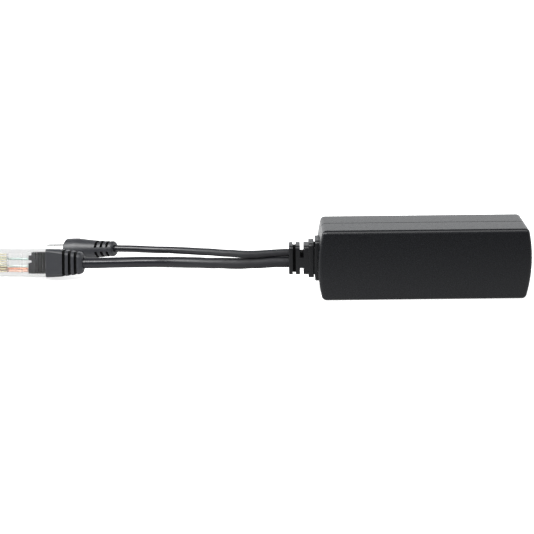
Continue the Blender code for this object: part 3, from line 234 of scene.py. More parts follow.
# Moulded plastics: colour, grain, its depth, least and most roughness, what is unusual
FINE_LUMPS = {"lumps": 300.0, "lump_depth": 0.000006}
PLASTICS = {
    "case_plastic": ((0.0052, 0.0057, 0.0073), 2200.0, 0.000012, (0.23, 0.30),
                     {"lighter": 1.2}),
    "gland_black": ((0.0055, 0.0058, 0.007), 3200.0, 0.000006, (0.26, 0.36), FINE_LUMPS),
    # soft_black is paler than the gland's black. This is partly the plastic's own tone and partly
    # painted light, standing in for the stronger light that falls on the boot and grip from the
    # left.
    "soft_black": ((0.025, 0.026, 0.030), 3200.0, 0.000006, (0.32, 0.42), FINE_LUMPS),
    # Painted shade: slot_black is the same black made darker and duller. It goes on the walls and
    # floors of slots, grooves and gaps, where shade falls.
    "slot_black": ((0.003, 0.003, 0.0035), 3200.0, 0.000006, (0.6, 0.75), {"specular": 0.15}),
    "cord_jacket": ((0.0085, 0.0088, 0.0115), 2500.0, 0.000002, (0.15, 0.23),
                    {"lumps": 120.0, "lump_depth": 0.00010}),
    "jack_plastic": ((0.014, 0.014, 0.014), 2500.0, 0.00001, (0.4, 0.55), {}),
    "board": ((0.015, 0.13, 0.05), 1800.0, 0.000008, (0.35, 0.5), {"lighter": 1.5}),
    "chip": ((0.018, 0.018, 0.02), 4000.0, 0.00001, (0.55, 0.7), {}),
    "ferrite": ((0.04, 0.04, 0.042), 3000.0, 0.00002, (0.6, 0.8), {}),
    "winding_tape": ((0.7, 0.5, 0.05), 900.0, 0.00001, (0.3, 0.45), {"lighter": 1.1}),
    "can_sleeve": ((0.012, 0.02, 0.06), 800.0, 0.000006, (0.25, 0.4), {}),
    "plug_insulation": ((0.03, 0.03, 0.03), 3000.0, 0.00001, (0.45, 0.6), {}),
    "red_wire": ((0.6, 0.02, 0.02), 2500.0, 0.00001, (0.35, 0.5), {}),
    "orange_wire": ((0.66, 0.30, 0.20), 2500.0, 0.00001, (0.35, 0.5), {"lighter": 1.1}),
    "green_wire": ((0.40, 0.50, 0.46), 2500.0, 0.00001, (0.35, 0.5), {"lighter": 1.2}),
}

# Finishes of the inner solids, which are shown as packed. The others are chip black.
INNER_FINISHES = {
    "main_board": "board", "input_jack_housing": "jack_plastic",
    "output_inductor": "ferrite", "power_transformer_core": "ferrite",
    "power_transformer_bobbin": "winding_tape", "input_capacitor": "can_sleeve",
    "output_capacitor": "can_sleeve", "inner_power_lead_positive": "red_wire",
    "power_plug_insulator": "plug_insulation", "power_plug_centre_tube": "nickel",
    **{f"inner_data_lead_{pin}": f"{colour}_wire" for pin, colour in WIRE_COLOURS.items()},
    **{f"jack_contact_{pin}": "gold" for pin in range(1, CONTACT_COUNT + 1)},
}

# Camera, at the photograph's viewing angle
CAMERA_ELEVATION = 18.386
CAMERA_AZIMUTH = 0.613
CAMERA_ROLL = 0.811
CAMERA_DISTANCE = 0.50465
CAMERA_TARGET = (-0.06225, 0.0, 0.01077)
CAMERA_LENS = 84.54
CAMERA_NEAREST = 0.01

# Lamps: name, place, the point it faces, size and power in watts
LAMPS = (
    ("overhead", (-0.10, -0.31, 0.80), (-0.10, -0.31, 0.0), (2.0, 0.5), 6.3),
    ("left_panel", (-0.37, -0.04, 0.215), (-0.13, 0.035, 0.01), (0.18, 0.18), 0.75),
    ("front_strip", (-0.30, -0.60, 0.67), (-0.11, 0.01, 0.01), (0.40, 0.20), 3.1),
)

# Surroundings and floor. A ramp says its first value, its last value and where it
# starts and ends. Mirrored is what the object's own surface reflects.
ROOM_COLOUR = (0.98, 0.99, 1, 1)
ROOM_STRENGTH = 0.56
MIRRORED_ROOM_COLOUR = (0.97, 0.985, 1, 1)
MIRRORED_BACK_RAMP = (0.2, 1.12, -0.2, 0.25)
MIRRORED_HEIGHT_RAMP = (1.12, 0.20, 0.40, 0.54)
FLOOR_SHADE = 0.9
FLOOR_GLOW = 0.74
MIRRORED_SHADE_RAMP = (0.06, 0.9, -0.11, 0.15)
MIRRORED_GLOW_RAMP = (0.0, 0.15, -0.05, 0.10)
THROUGH_STRENGTH = 0.80
FLOOR_CORNERS = ((-8, -8, -0.02), (8, 8, -0.00005))


# Camera

def make_camera():
    elevation, azimuth, roll = map(radians, (CAMERA_ELEVATION, CAMERA_AZIMUTH, CAMERA_ROLL))
    level = cos(elevation)
    back = Vector((sin(azimuth) * level, -cos(azimuth) * level, sin(elevation)))
    right = Vector((cos(azimuth), sin(azimuth), 0))
    up = back.cross(right)
    across = right * cos(roll) - up * sin(roll)
    upright = right * sin(roll) + up * cos(roll)
    camera = bpy.data.objects.new("camera", bpy.data.cameras.new("camera"))
    camera.data.lens = CAMERA_LENS
    camera.data.clip_start = CAMERA_NEAREST
    camera.matrix_world = (Matrix.Translation(Vector(CAMERA_TARGET) + back * CAMERA_DISTANCE)
                           @ Matrix((across, upright, back)).transposed().to_4x4())
    bpy.context.scene.collection.objects.link(camera)
    bpy.context.scene.camera = camera


# Node helpers

def new_material(name):
    made = bpy.data.materials.new(name)
    made.use_nodes = True
    return made, made.node_tree, made.node_tree.nodes["Principled BSDF"]


def add_node(tree, kind, **values):
    made = tree.nodes.new(kind)
    for key, value in values.items():
        if hasattr(made, key):
            setattr(made, key, value)
        else:
            made.inputs[key].default_value = value
    return made


def place_vector(tree, stretch=None, turn=(0, 0, 0)):
    # Places in metres, read along the axes of a turned piece and stretched.
    place = add_node(tree, "ShaderNodeTexCoord").outputs["Object"]
    if stretch is None:
        return place
    mapping = add_node(tree, "ShaderNodeMapping", vector_type="TEXTURE")
    mapping.inputs["Rotation"].default_value = turn
    mapping.inputs["Scale"].default_value = [1 / value for value in stretch]
    tree.links.new(place, mapping.inputs["Vector"])
    return mapping.outputs["Vector"]


def noise_value(tree, scale, detail=3.0, stretch=None, turn=(0, 0, 0)):
    made = add_node(tree, "ShaderNodeTexNoise", Scale=scale, Detail=detail)
    tree.links.new(place_vector(tree, stretch, turn), made.inputs["Vector"])
    return made.outputs["Fac"]


def ranged(tree, value, low=0.0, high=1.0, start=0.3, end=0.7):
    made = add_node(tree, "ShaderNodeMapRange")
    set_inputs(made, {"To Min": low, "To Max": high, "From Min": start, "From Max": end})
    tree.links.new(value, made.inputs["Value"])
    return made.outputs["Result"]


def mixed_colour(tree, factor, first, second):
    made = add_node(tree, "ShaderNodeMix", data_type="RGBA")
    made.inputs["A"].default_value = (*first, 1.0)
    made.inputs["B"].default_value = (*second, 1.0)
    tree.links.new(factor, made.inputs["Factor"])
    return made.outputs["Result"]


def bumped(tree, value, distance, strength=1.0, normal=None):
    made = add_node(tree, "ShaderNodeBump", Distance=distance, Strength=strength)
    tree.links.new(value, made.inputs["Height"])
    if normal is not None:
        tree.links.new(normal, made.inputs["Normal"])
    return made.outputs["Normal"]


def joined(tree, kind, values, **settings):
    # The first output of a node whose inputs take the values in their order.
    made = add_node(tree, kind, **settings)
    for value, socket in zip(values, made.inputs):
        tree.links.new(value, socket)
    return made.outputs[0]


def part_of(tree, vector, axis):
    made = add_node(tree, "ShaderNodeSeparateXYZ")
    tree.links.new(vector, made.inputs["Vector"])
    return made.outputs[axis]


def set_inputs(node, values):
    for socket, value in values.items():
        node.inputs[socket].default_value = value


def surface(tree, shader, colour, roughness, normal):
    tree.links.new(colour, shader.inputs["Base Color"])
    tree.links.new(roughness, shader.inputs["Roughness"])
    tree.links.new(normal, shader.inputs["Normal"])


# Kinds of material

def moulded(name, colour, grain, depth, roughness, lumps=180.0, lump_depth=0.0, lighter=1.25,
            specular=0.5):
    # A moulded plastic: its grain, and its lumps if it has any, are bumps, and its
    # colour and gloss vary a little.
    made, tree, shader = new_material(name)
    set_inputs(shader, {"IOR": 1.54, "Specular IOR Level": specular})
    fine = noise_value(tree, grain)
    pale = tuple(min(1.0, value * lighter) for value in colour)
    normal = bumped(tree, fine, depth)
    if lump_depth:
        broad = noise_value(tree, lumps, detail=2.0)
        normal = bumped(tree, broad, lump_depth, normal=normal)
    surface(tree, shader, mixed_colour(tree, ranged(tree, fine), colour, pale),
            ranged(tree, noise_value(tree, grain / 3, detail=4.0), *roughness), normal)
    return made


def duller_towards(material, near, far, extra):
    # Adds roughness along the x axis, from nothing at near to extra at far.
    tree = material.node_tree
    rough = tree.nodes["Principled BSDF"].inputs["Roughness"]
    added = ranged(tree, part_of(tree, place_vector(tree), "X"), 0.0, extra, near, far)
    total = joined(tree, "ShaderNodeMath", (rough.links[0].from_socket, added), operation="ADD")
    tree.links.new(total, rough)


def metal(name, colour, roughness, stretch, turn=(0, 0, 0), metallic=1.0, depth=0.000004):
    # Metal with darker patches and brushed lines, along the least stretched axis.
    made, tree, shader = new_material(name)
    set_inputs(shader, {"Metallic": metallic})
    brushed = noise_value(tree, 900.0, detail=4.0, stretch=stretch, turn=turn)
    dull = tuple(value * 0.82 for value in colour)
    patches = ranged(tree, noise_value(tree, 600.0, detail=2.0))
    surface(tree, shader, mixed_colour(tree, patches, colour, dull),
            ranged(tree, brushed, *roughness), bumped(tree, brushed, depth))
    return made


def clear_plastic(name, colour, clearness):
    # Clear moulded plastic, a little cloudy. It hardly bends what is seen through it.
    made, tree, shader = new_material(name)
    set_inputs(shader, {"Transmission Weight": clearness, "IOR": 1.05, "Coat Weight": 0.25,
                        "Coat IOR": 1.4, "Coat Roughness": 0.05})
    cloud = ranged(tree, noise_value(tree, 420.0, detail=2.0))
    dull = tuple(value * 0.985 for value in colour)
    surface(tree, shader, mixed_colour(tree, cloud, colour, dull),
            ranged(tree, noise_value(tree, 700.0), 0.03, 0.09),
            bumped(tree, noise_value(tree, 350.0, detail=2.0), 0.00002, strength=0.5))
    return made


def striped(name, pale, stripe):
    # Pale insulation with a coloured stripe that comes round again and again.
    made, tree, shader = new_material(name)
    wave = add_node(tree, "ShaderNodeTexWave", Scale=900.0, Distortion=1.5)
    tree.links.new(place_vector(tree), wave.inputs["Vector"])
    stripes = ranged(tree, wave.outputs["Fac"], start=0.75, end=0.85)
    surface(tree, shader, mixed_colour(tree, stripes, pale, stripe),
            ranged(tree, noise_value(tree, 1500.0), 0.35, 0.5),
            bumped(tree, noise_value(tree, 2500.0), 0.00001, strength=0.6))
    return made


# Mesh helpers

def along_x(first, second, height):
    return Vector((height, first, second))


def along_y(first, second, height):
    return Vector((first, height, second))


def prism(outline, low, high, place):
    shape = bmesh.new()
    base = shape.faces.new([shape.verts.new(place(a, b, low)) for a, b in outline])
    grown = bmesh.ops.extrude_face_region(shape, geom=[base])
    moved = [item for item in grown["geom"] if isinstance(item, bmesh.types.BMVert)]
    bmesh.ops.translate(shape, verts=moved, vec=place(0, 0, high) - place(0, 0, low))
    return shape


def box(low, high):
    low_corner = Vector(low)
    size = Vector(high) - low_corner
    shape = bmesh.new()
    bmesh.ops.create_cube(shape, size=1.0)
    bmesh.ops.translate(shape, verts=shape.verts, vec=(0.5, 0.5, 0.5))
    bmesh.ops.scale(shape, verts=shape.verts, vec=size)
    bmesh.ops.translate(shape, verts=shape.verts, vec=low_corner)
    return shape


def centred_box(centre, size):
    low = [c - s / 2 for c, s in zip(centre, size)]
    high = [c + s / 2 for c, s in zip(centre, size)]
    return box(low, high)


def merge(target, other):
    mesh = bpy.data.meshes.new("merge")
    other.to_mesh(mesh)
    other.free()
    target.from_mesh(mesh)
    bpy.data.meshes.remove(mesh)


def bevel(shape, edges, width, segments):
    bmesh.ops.bevel(shape, geom=list(edges), offset=width, segments=segments,
                    profile=0.5, affect="EDGES", clamp_overlap=True)
    return shape


def rounded_rectangle(width, height, radius, centre=(0.0, 0.0)):
    points = []
    corners = ((1, 1, 0), (-1, 1, 90), (-1, -1, 180), (1, -1, 270))
    for side, rise, start in corners:
        middle_a = centre[0] + side * (width / 2 - radius)
        middle_b = centre[1] + rise * (height / 2 - radius)
        for step in range(CORNER_STEPS + 1):
            angle = radians(start + 90 * step / CORNER_STEPS)
            points.append((middle_a + radius * cos(angle), middle_b + radius * sin(angle)))
    return points


def loft(sections, place):
    shape = bmesh.new()
    rings = []
    for station, outline in sections:
        rings.append([shape.verts.new(place(a, b, station)) for a, b in outline])
    for near, far in zip(rings, rings[1:]):
        for index in range(len(near)):
            following = (index + 1) % len(near)
            shape.faces.new((near[index], near[following], far[following], far[index]))
    shape.faces.new(rings[0])
    shape.faces.new(rings[-1])
    return shape


def turned(profile, steps=ROUND_STEPS):
    # Turns a profile of stations and radii about the x axis.
    shape = bmesh.new()
    points = [shape.verts.new((station, 0, radius)) for station, radius in profile]
    edges = [shape.edges.new(pair) for pair in zip(points, points[1:])]
    if profile[0][1] > 0:
        edges.append(shape.edges.new((points[-1], points[0])))
    bmesh.ops.spin(shape, geom=points + edges, cent=(0, 0, 0), axis=X_AXIS,
                   angle=2 * pi, steps=steps, use_merge=True)
    bmesh.ops.remove_doubles(shape, verts=shape.verts, dist=WELD_DISTANCE)
    return shape


def round_hole(low, high, radius):
    return turned(((low, 0), (low, radius), (high, radius), (high, 0)), HOLE_STEPS)


def slot_spans(start, pitch, count, width):
    # The low and high end, along the piece, of each slot in a row.
    starts = [start + index * pitch for index in range(count)]
    return [(min(place, place + width), max(place, place + width)) for place in starts]


def slabs(spans, width, thickness):
    made = bmesh.new()
    for low, high in spans:
        merge(made, box((low, -width, -thickness), (high, width, thickness)))
    return made


def new_object(name, shape, finish=None):
    bmesh.ops.recalc_face_normals(shape, faces=shape.faces)
    mesh = bpy.data.meshes.new(name)
    shape.to_mesh(mesh)
    shape.free()
    if finish is not None:
        mesh.materials.append(finish)
    made = bpy.data.objects.new(name, mesh)
    bpy.context.scene.collection.objects.link(made)
    return made


def combine(item, *steps):
    # Works the tools into the item's mesh, in their order, and removes them.
    for operation, shape in steps:
        tool = new_object("tool", shape) if isinstance(shape, bmesh.types.BMesh) else shape
        modifier = item.modifiers.new("combine", "BOOLEAN")
        modifier.operation = operation
        modifier.solver = "EXACT"
        modifier.object = tool
        graph = bpy.context.evaluated_depsgraph_get()
        mesh = bpy.data.meshes.new_from_object(item.evaluated_get(graph))
        item.modifiers.clear()
        item.data = mesh
        bpy.data.objects.remove(tool, do_unlink=True)
    return item


def dress(item, edge=0.0):
    # Smooth shading that keeps flat faces flat, with softened edges if asked.
    item.data.shade_smooth()
    item.data.set_sharp_from_angle(angle=radians(SMOOTH_ANGLE))
    if edge:
        softened = item.modifiers.new("softened_edges", "BEVEL")
        softened.width = edge
        softened.segments = 2
        softened.limit_method = "ANGLE"
        softened.angle_limit = radians(SMOOTH_ANGLE)
    weighted = item.modifiers.new("weighted_normals", "WEIGHTED_NORMAL")
    weighted.keep_sharp = True
    return item


def curve_through(points, spacing):
    # A smooth line through the points, as places about one spacing apart.
    fine = []
    padded = [points[0] * 2 - points[1], *points, points[-1] * 2 - points[-2]]
    for before, start, end, after in zip(padded, padded[1:], padded[2:], padded[3:]):
        for step in range(CURVE_STEPS):
            t = step / CURVE_STEPS
            fine.append(0.5 * (2 * start + (end - before) * t
                               + (2 * before - 5 * start + 4 * end - after) * t ** 2
                               + (3 * start - before - 3 * end + after) * t ** 3))
    fine.append(points[-1])
    total = sum((b - a).length for a, b in zip(fine, fine[1:]))
    count = max(2, round(total / spacing))
    result = [fine[0]]
    walked = 0.0
    for a, b in zip(fine, fine[1:]):
        walked += (b - a).length
        if walked >= total * len(result) / count - LENGTH_SLACK and len(result) < count:
            result.append(b)
    result.append(fine[-1])
    return result


def tube(name, points, diameter, finish, resolution, unevenness=0.0):
    curve = bpy.data.curves.new(name, "CURVE")
    curve.dimensions = "3D"
    curve.bevel_depth = diameter / 2
    curve.bevel_resolution = resolution
    curve.use_fill_caps = True
    spline = curve.splines.new("POLY")
    spline.points.add(len(points) - 1)
    for target, place in zip(spline.points, points):
        target.co = (*place, 1.0)
        target.radius = 1.0 + unevenness * noise.noise(place * UNEVENNESS_SCALE)
    spline.use_smooth = True
    curve.materials.append(finish)
    made = bpy.data.objects.new(name, curve)
    bpy.context.scene.collection.objects.link(made)
    return made


def plug_frame(front, yaw, lean):
    nose = Vector((-cos(radians(yaw)), sin(radians(yaw)), 0))
    side = Vector((0, 0, 1)).cross(nose).normalized()
    face = side * cos(radians(lean)) + Vector((0, 0, 1)) * sin(radians(lean))
    down = face.cross(nose)
    return Matrix.Translation(front) @ Matrix((nose, down, face)).transposed().to_4x4()


def power_frame():
    yaw, pitch = radians(POWER_PLUG_YAW), radians(POWER_PLUG_PITCH)
    nose = Vector((-cos(yaw) * cos(pitch), sin(yaw) * cos(pitch), -sin(pitch)))
    roll = Euler((radians(POWER_PLUG_ROLL), 0, 0)).to_matrix()
    turn = nose.to_track_quat("X", "Z").to_matrix() @ roll
    return Matrix.Translation(POWER_PLUG_FRONT) @ turn.to_4x4()


DATA_FRAME = plug_frame(DATA_PLUG_REAR, DATA_PLUG_YAW, DATA_PLUG_LEAN)
POWER_FRAME = power_frame()


def put(item, node_names, matrix=None):
    # Sets the piece in its place for good: in its mesh, on the body, for its solids.
    if matrix is not None:
        item.data.transform(matrix)
    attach(item, "root")
    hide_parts(*node_names)
    return item


# Case

def case_outline(inset):
    arc_radius = (CASE_HEIGHT ** 2 / 4 + CASE_END_BOW ** 2) / (2 * CASE_END_BOW) - inset
    arc_centre = CASE_END - inset - arc_radius
    half_height = CASE_HEIGHT / 2 - inset
    radius = max(CASE_CORNER_RADIUS - inset, CASE_INNER_RADIUS)
    corner_x = arc_centre + sqrt((arc_radius - radius) ** 2 - (half_height - radius) ** 2)
    meeting = asin((half_height - radius) / (arc_radius - radius))
    end = []
    for step in range(CORNER_STEPS + 1):
        angle = pi / 2 + (meeting - pi / 2) * step / CORNER_STEPS
        end.append((corner_x + radius * cos(angle), half_height - radius + radius * sin(angle)))
    for step in range(1, END_STEPS):
        angle = meeting - 2 * meeting * step / END_STEPS
        end.append((arc_centre + arc_radius * cos(angle), arc_radius * sin(angle)))
    end += [(x, -z) for x, z in reversed(end[:CORNER_STEPS + 1])]
    outline = end + [(-x, -z) for x, z in end]
    return [(x, z + CASE_MIDDLE) for x, z in outline]


def cover_blank(face, seam):
    shape = prism(case_outline(0), face, seam, along_y)
    rim = [edge for edge in shape.edges
           if all(abs(vert.co.y - face) < SAME_PLACE for vert in edge.verts)]
    return bevel(shape, rim, CASE_EDGE_RADIUS, BEND_STEPS)


def neck_opening():
    outline = rounded_rectangle(GLAND_NECK_DEPTH + 2 * CLEARANCE, GLAND_NECK_HEIGHT + 2 * CLEARANCE,
                                GLAND_CORNER_RADIUS, (0, CASE_MIDDLE))
    return prism(outline, -CASE_END - CASE_WALL, -CASE_END + CASE_WALL + CASE_END_BOW, along_x)


def jack_opening():
    low = (JACK_REAR + SOCKET_LENGTH, PART_SEAT - JACK_HEIGHT - CLEARANCE,
           CASE_MIDDLE - JACK_WIDTH / 2 - CLEARANCE)
    high = (CASE_END + CASE_WALL, PART_SEAT + CLEARANCE, CASE_MIDDLE + JACK_WIDTH / 2 + CLEARANCE)
    return box(low, high)


def case_covers(finish):
    face, seam = -CASE_DEPTH / 2, -SEAM_GROOVE / 2
    rebate = CASE_WALL - CASE_LIP_THICKNESS - CLEARANCE
    inside = case_outline(CASE_WALL)
    lowered = prism(case_outline(rebate), seam - CASE_LIP_HEIGHT, CASE_WALL, along_y)
    front = combine(new_object("front_cover_look", cover_blank(face, seam), finish),
                    ("DIFFERENCE", prism(inside, face + CASE_WALL, CASE_WALL, along_y)),
                    ("DIFFERENCE", lowered),
                    ("DIFFERENCE", neck_opening()),
                    ("DIFFERENCE", jack_opening()))
    put(dress(front), ["front_cover"])
    lip_end = -seam - SEAM_GROOVE - CASE_LIP_HEIGHT + CLEARANCE
    lip = prism(case_outline(CASE_WALL - CASE_LIP_THICKNESS), lip_end, -seam + CASE_WALL, along_y)
    rear = combine(new_object("rear_cover_look", cover_blank(-face, -seam), finish),
                   ("UNION", lip),
                   ("DIFFERENCE", prism(inside, face, INNER_FACE, along_y)),
                   ("DIFFERENCE", neck_opening()),
                   ("DIFFERENCE", jack_opening()))
    put(dress(rear), ["rear_cover"])


# Cable gland

def gland_block(start, length, height, depth):
    outline = rounded_rectangle(depth, height, GLAND_CORNER_RADIUS, (0, CASE_MIDDLE))
    shape = prism(outline, start - length, start, along_x)
    ends = [edge for edge in shape.edges
            if abs(edge.verts[0].co.x - edge.verts[1].co.x) < SAME_PLACE]
    return bevel(shape, ends, GLAND_EDGE, segments=3)


def gland_slots(wide, narrow):
    slots = bmesh.new()
    for side in (-1, 1):
        edge = CASE_MIDDLE + side * GLAND_RING_HEIGHT / 2
        reach = edge - side * GLAND_WIDE_SLOT_CUT
        beyond = edge + side * GLAND_WIDE_SLOT_CUT
        merge(slots, box((wide - GLAND_WIDE_SLOT, -GLAND_RING_DEPTH, min(reach, beyond)),
                         (wide, GLAND_RING_DEPTH, max(reach, beyond))))
    top = CASE_MIDDLE + GLAND_RING_HEIGHT / 2 - GLAND_WIDE_SLOT_CUT
    pockets = bmesh.new()
    for side in (-1, 1):
        face = side * GLAND_RING_DEPTH / 2
        inner = face - side * GLAND_POCKET_DEPTH
        outer = face + side * GLAND_POCKET_DEPTH
        merge(pockets, box((wide - GLAND_WIDE_SLOT, min(inner, outer), top - GLAND_POCKET_HEIGHT),
                           (wide, max(inner, outer), top + GLAND_POCKET_DEPTH)))
    groove = new_object("groove", box(
        (narrow - GLAND_NARROW_SLOT, -GLAND_RING_DEPTH, CASE_MIDDLE - GLAND_RING_HEIGHT),
        (narrow, GLAND_RING_DEPTH, CASE_MIDDLE + GLAND_RING_HEIGHT)))
    bridge_height = GLAND_RING_HEIGHT - 2 * GLAND_NARROW_SLOT_CUT
    combine(groove, ("DIFFERENCE", centred_box(
        (narrow - GLAND_NARROW_SLOT / 2, 0, CASE_MIDDLE),
        (GLAND_NARROW_SLOT * 2, GLAND_NARROW_SLOT_BRIDGE, bridge_height))))
    return slots, pockets, groove


def cord_socket(diameter, height):
    hole = round_hole(GLAND_TIP - GLAND_SOCKET_DEPTH, GLAND_TIP + GLAND_SOCKET_DEPTH,
                      diameter / 2 + CONTACT_CLEARANCE)
    bmesh.ops.translate(hole, verts=hole.verts, vec=(0, 0, height))
    return hole


def cable_gland(finish, slot_shade_finish):
    flange = -CASE_END - GLAND_FLANGE_OUT
    collar = flange - GLAND_COLLAR_GAP
    block = collar - GLAND_COLLAR_LENGTH
    wide = block - GLAND_BLOCK_LENGTH
    narrow = wide - GLAND_WIDE_SLOT - GLAND_MIDDLE_RING
    ring_root = block + GLAND_COLLAR_LENGTH / 2
    middle = (0, CASE_MIDDLE)
    root = flange + GLAND_FLANGE_OUT / 2
    neck_end = GLAND_INNER_END - GLAND_BARB_LENGTH / 2
    link_length = GLAND_FLANGE_OUT / 2 + GLAND_COLLAR_GAP + GLAND_COLLAR_LENGTH / 2
    ring = (GLAND_RING_HEIGHT, GLAND_RING_DEPTH)
    neck = rounded_rectangle(GLAND_NECK_DEPTH, GLAND_NECK_HEIGHT, GLAND_CORNER_RADIUS, middle)
    barb = rounded_rectangle(GLAND_BARB_DEPTH, GLAND_BARB_HEIGHT, GLAND_CORNER_RADIUS, middle)
    plate = gland_block(-CASE_END + CASE_END_BOW, GLAND_FLANGE_OUT + CASE_END_BOW,
                        GLAND_FLANGE_HEIGHT, GLAND_FLANGE_DEPTH)
    slots, pockets, groove = gland_slots(wide, narrow)
    gland = combine(
        new_object("cable_gland_look", plate, finish),
        ("DIFFERENCE", prism(case_outline(-SEATED_GAP), -CASE_DEPTH, CASE_DEPTH, along_y)),
        ("UNION", prism(neck, root, neck_end, along_x)),
        ("UNION", prism(barb, GLAND_INNER_END - GLAND_BARB_LENGTH, GLAND_INNER_END, along_x)),
        ("UNION", gland_block(root, link_length, *ring)),
        ("UNION", gland_block(collar, GLAND_COLLAR_LENGTH, GLAND_COLLAR_HEIGHT,
                              GLAND_COLLAR_DEPTH)),
        ("UNION", gland_block(ring_root, ring_root - GLAND_TIP, *ring)),
        ("DIFFERENCE", slots),
        ("DIFFERENCE", pockets),
        ("DIFFERENCE", groove),
        ("DIFFERENCE", cord_socket(DATA_CORD_DIAMETER, DATA_CORD_HEIGHT)),
        ("DIFFERENCE", cord_socket(POWER_CORD_DIAMETER, POWER_CORD_HEIGHT)))
    # The walls and floors of the slots, and of the gap behind the collar, get the painted shade.
    spans = [(narrow - GLAND_NARROW_SLOT, narrow), (wide - GLAND_WIDE_SLOT, wide),
             (collar, flange)]
    mark_faces(gland, slot_shade_finish, spans,
               lambda face: abs(face.center.y) < GLAND_RING_DEPTH / 2 - CLEARANCE)
    return put(dress(gland, SOFT_EDGE), ["cable_gland"])


# Data plug and its boot

def pin_place(number):
    return ((CONTACT_COUNT + 1) / 2 - number) * CONTACT_PITCH


def plug_latch():
    root = PLUG_LENGTH - LATCH_ROOT
    tip = PLUG_LENGTH - LATCH_LENGTH
    shoulder = PLUG_LENGTH - LATCH_SHOULDER
    sections = []
    for station, width in ((root, LATCH_WIDTH), (shoulder, LATCH_WIDTH),
                           (shoulder - LATCH_THICKNESS, LATCH_TIP_WIDTH), (tip, LATCH_TIP_WIDTH)):
        rise = LATCH_RISE * (root - station) / (root - tip)
        low = -PLUG_THICKNESS / 2 - rise - LATCH_OVERHANG
        high = low + LATCH_THICKNESS
        half = width / 2
        sections.append((station, ((-half, low), (half, low), (half, high), (-half, high))))
    return loft(sections, along_x)


def mark_edges(item, finish):
    # Gives the finish to the narrow faces: softened edges, slot ends and steps.
    item.data.materials.append(finish)
    for face in item.data.polygons:
        slanted = max(abs(value) for value in face.normal) < FLAT_NORMAL
        narrow_end = abs(face.normal.x) > FLAT_NORMAL and face.area < NARROW_FACE_AREA
        if slanted or narrow_end:
            face.material_index = 1


def mark_faces(item, finish, spans, chosen=lambda face: True):
    # Gives the finish to the chosen faces whose middles lie in the spans along the piece.
    item.data.materials.append(finish)
    for face in item.data.polygons:
        inside = any(low - SPAN_SLACK < face.center.x < high + SPAN_SLACK for low, high in spans)
        if inside and chosen(face):
            face.material_index = len(item.data.materials) - 1


def data_plug_body(finish, edge_finish, slot_shade_finish):
    shell = centred_box((PLUG_LENGTH / 2, 0, 0), (PLUG_LENGTH, PLUG_WIDTH, PLUG_THICKNESS))
    bevel(shell, shell.edges, PLUG_EDGE, segments=3)
    cavity = (2 * PLUG_CAVITY_LENGTH, PLUG_CAVITY_WIDTH, PLUG_CAVITY_THICKNESS)
    channel = (CONTACT_COUNT * CONTACT_PITCH + CONTACT_CLEARANCE) / 2
    channel_rise = (PLUG_WIRE_DIAMETER + 2 * CONTACT_CLEARANCE) / 2
    slot_end = PLUG_LENGTH - PLUG_SLOT_LENGTH
    slot_front = PLUG_LENGTH - PLUG_NOSE_WALL / 2
    slot = (PLUG_BLADE_THICKNESS + 2 * CONTACT_CLEARANCE) / 2
    slots = bmesh.new()
    for number in range(1, CONTACT_COUNT + 1):
        middle = pin_place(number)
        merge(slots, box((slot_end, middle - slot, 0),
                         (slot_front, middle + slot, PLUG_THICKNESS)))
    steps = [("UNION", plug_latch()),
             ("DIFFERENCE", centred_box((0, 0, 0), cavity)),
             ("DIFFERENCE", box((PLUG_CAVITY_LENGTH / 2, -channel, -channel_rise),
                                (PLUG_LENGTH - PLUG_NOSE_WALL, channel, channel_rise))),
             ("DIFFERENCE", slots)]
    for start, length, depth in ((CRIMP_BAR_START, CRIMP_BAR_LENGTH, CRIMP_BAR_DEPTH),
                                 (JACKET_BAR_START, JACKET_BAR_LENGTH, JACKET_BAR_DEPTH)):
        steps.append(("DIFFERENCE", box((start, -channel, PLUG_THICKNESS / 2 - depth),
                                        (start + length, channel, PLUG_THICKNESS))))
    body = combine(new_object("data_plug_body_look", shell, finish), *steps)
    mark_edges(body, edge_finish)
    # The rear ends of the blade slots get a grey, less clear copy of the clear plastic. This is
    # painted shade: dark ticks at the contacts' rear ends.
    mark_faces(body, slot_shade_finish, [(slot_end, slot_end)])
    return put(dress(body), ["data_plug_body"], DATA_FRAME)


def boot_section(station, width, thickness):
    radius = min(BOOT_CORNER_RADIUS + station * BOOT_CORNER_GROWTH, thickness / 2 - CLEARANCE)
    return -station, rounded_rectangle(width, thickness, radius)


def boot_tongue():
    # The tongue inside the clear plug: the boxes to add, the grooves to cut, their spans.
    width = PLUG_CAVITY_WIDTH - 2 * CLEARANCE
    thickness = PLUG_CAVITY_THICKNESS - 2 * CLEARANCE
    step_end = BOOT_TONGUE_LENGTH + BOOT_TONGUE_STEP
    step_root = BOOT_TONGUE_LENGTH / 2
    added = (box((-BOOT_BLOCK_LENGTH / 2, -width / 2, -thickness / 2),
                 (BOOT_TONGUE_LENGTH, width / 2, thickness / 2)),
             box((step_root, 0, -thickness / 3), (step_end, width / 2, thickness / 3)),
             box((step_root, -3 * CONTACT_PITCH, -thickness / 4),
                 (step_end, -CONTACT_PITCH, thickness / 4)))
    spans = slot_spans(TONGUE_GROOVE, TONGUE_GROOVE_PITCH, TONGUE_GROOVE_COUNT, TONGUE_GROOVE)
    core = centred_box((0, 0, 0), (2 * BOOT_TONGUE_LENGTH, width - 2 * TONGUE_GROOVE_DEPTH,
                                   thickness - 2 * TONGUE_GROOVE_DEPTH))
    grooves = combine(new_object("grooves", slabs(spans, width, thickness)),
                      ("DIFFERENCE", core))
    return added, grooves, spans


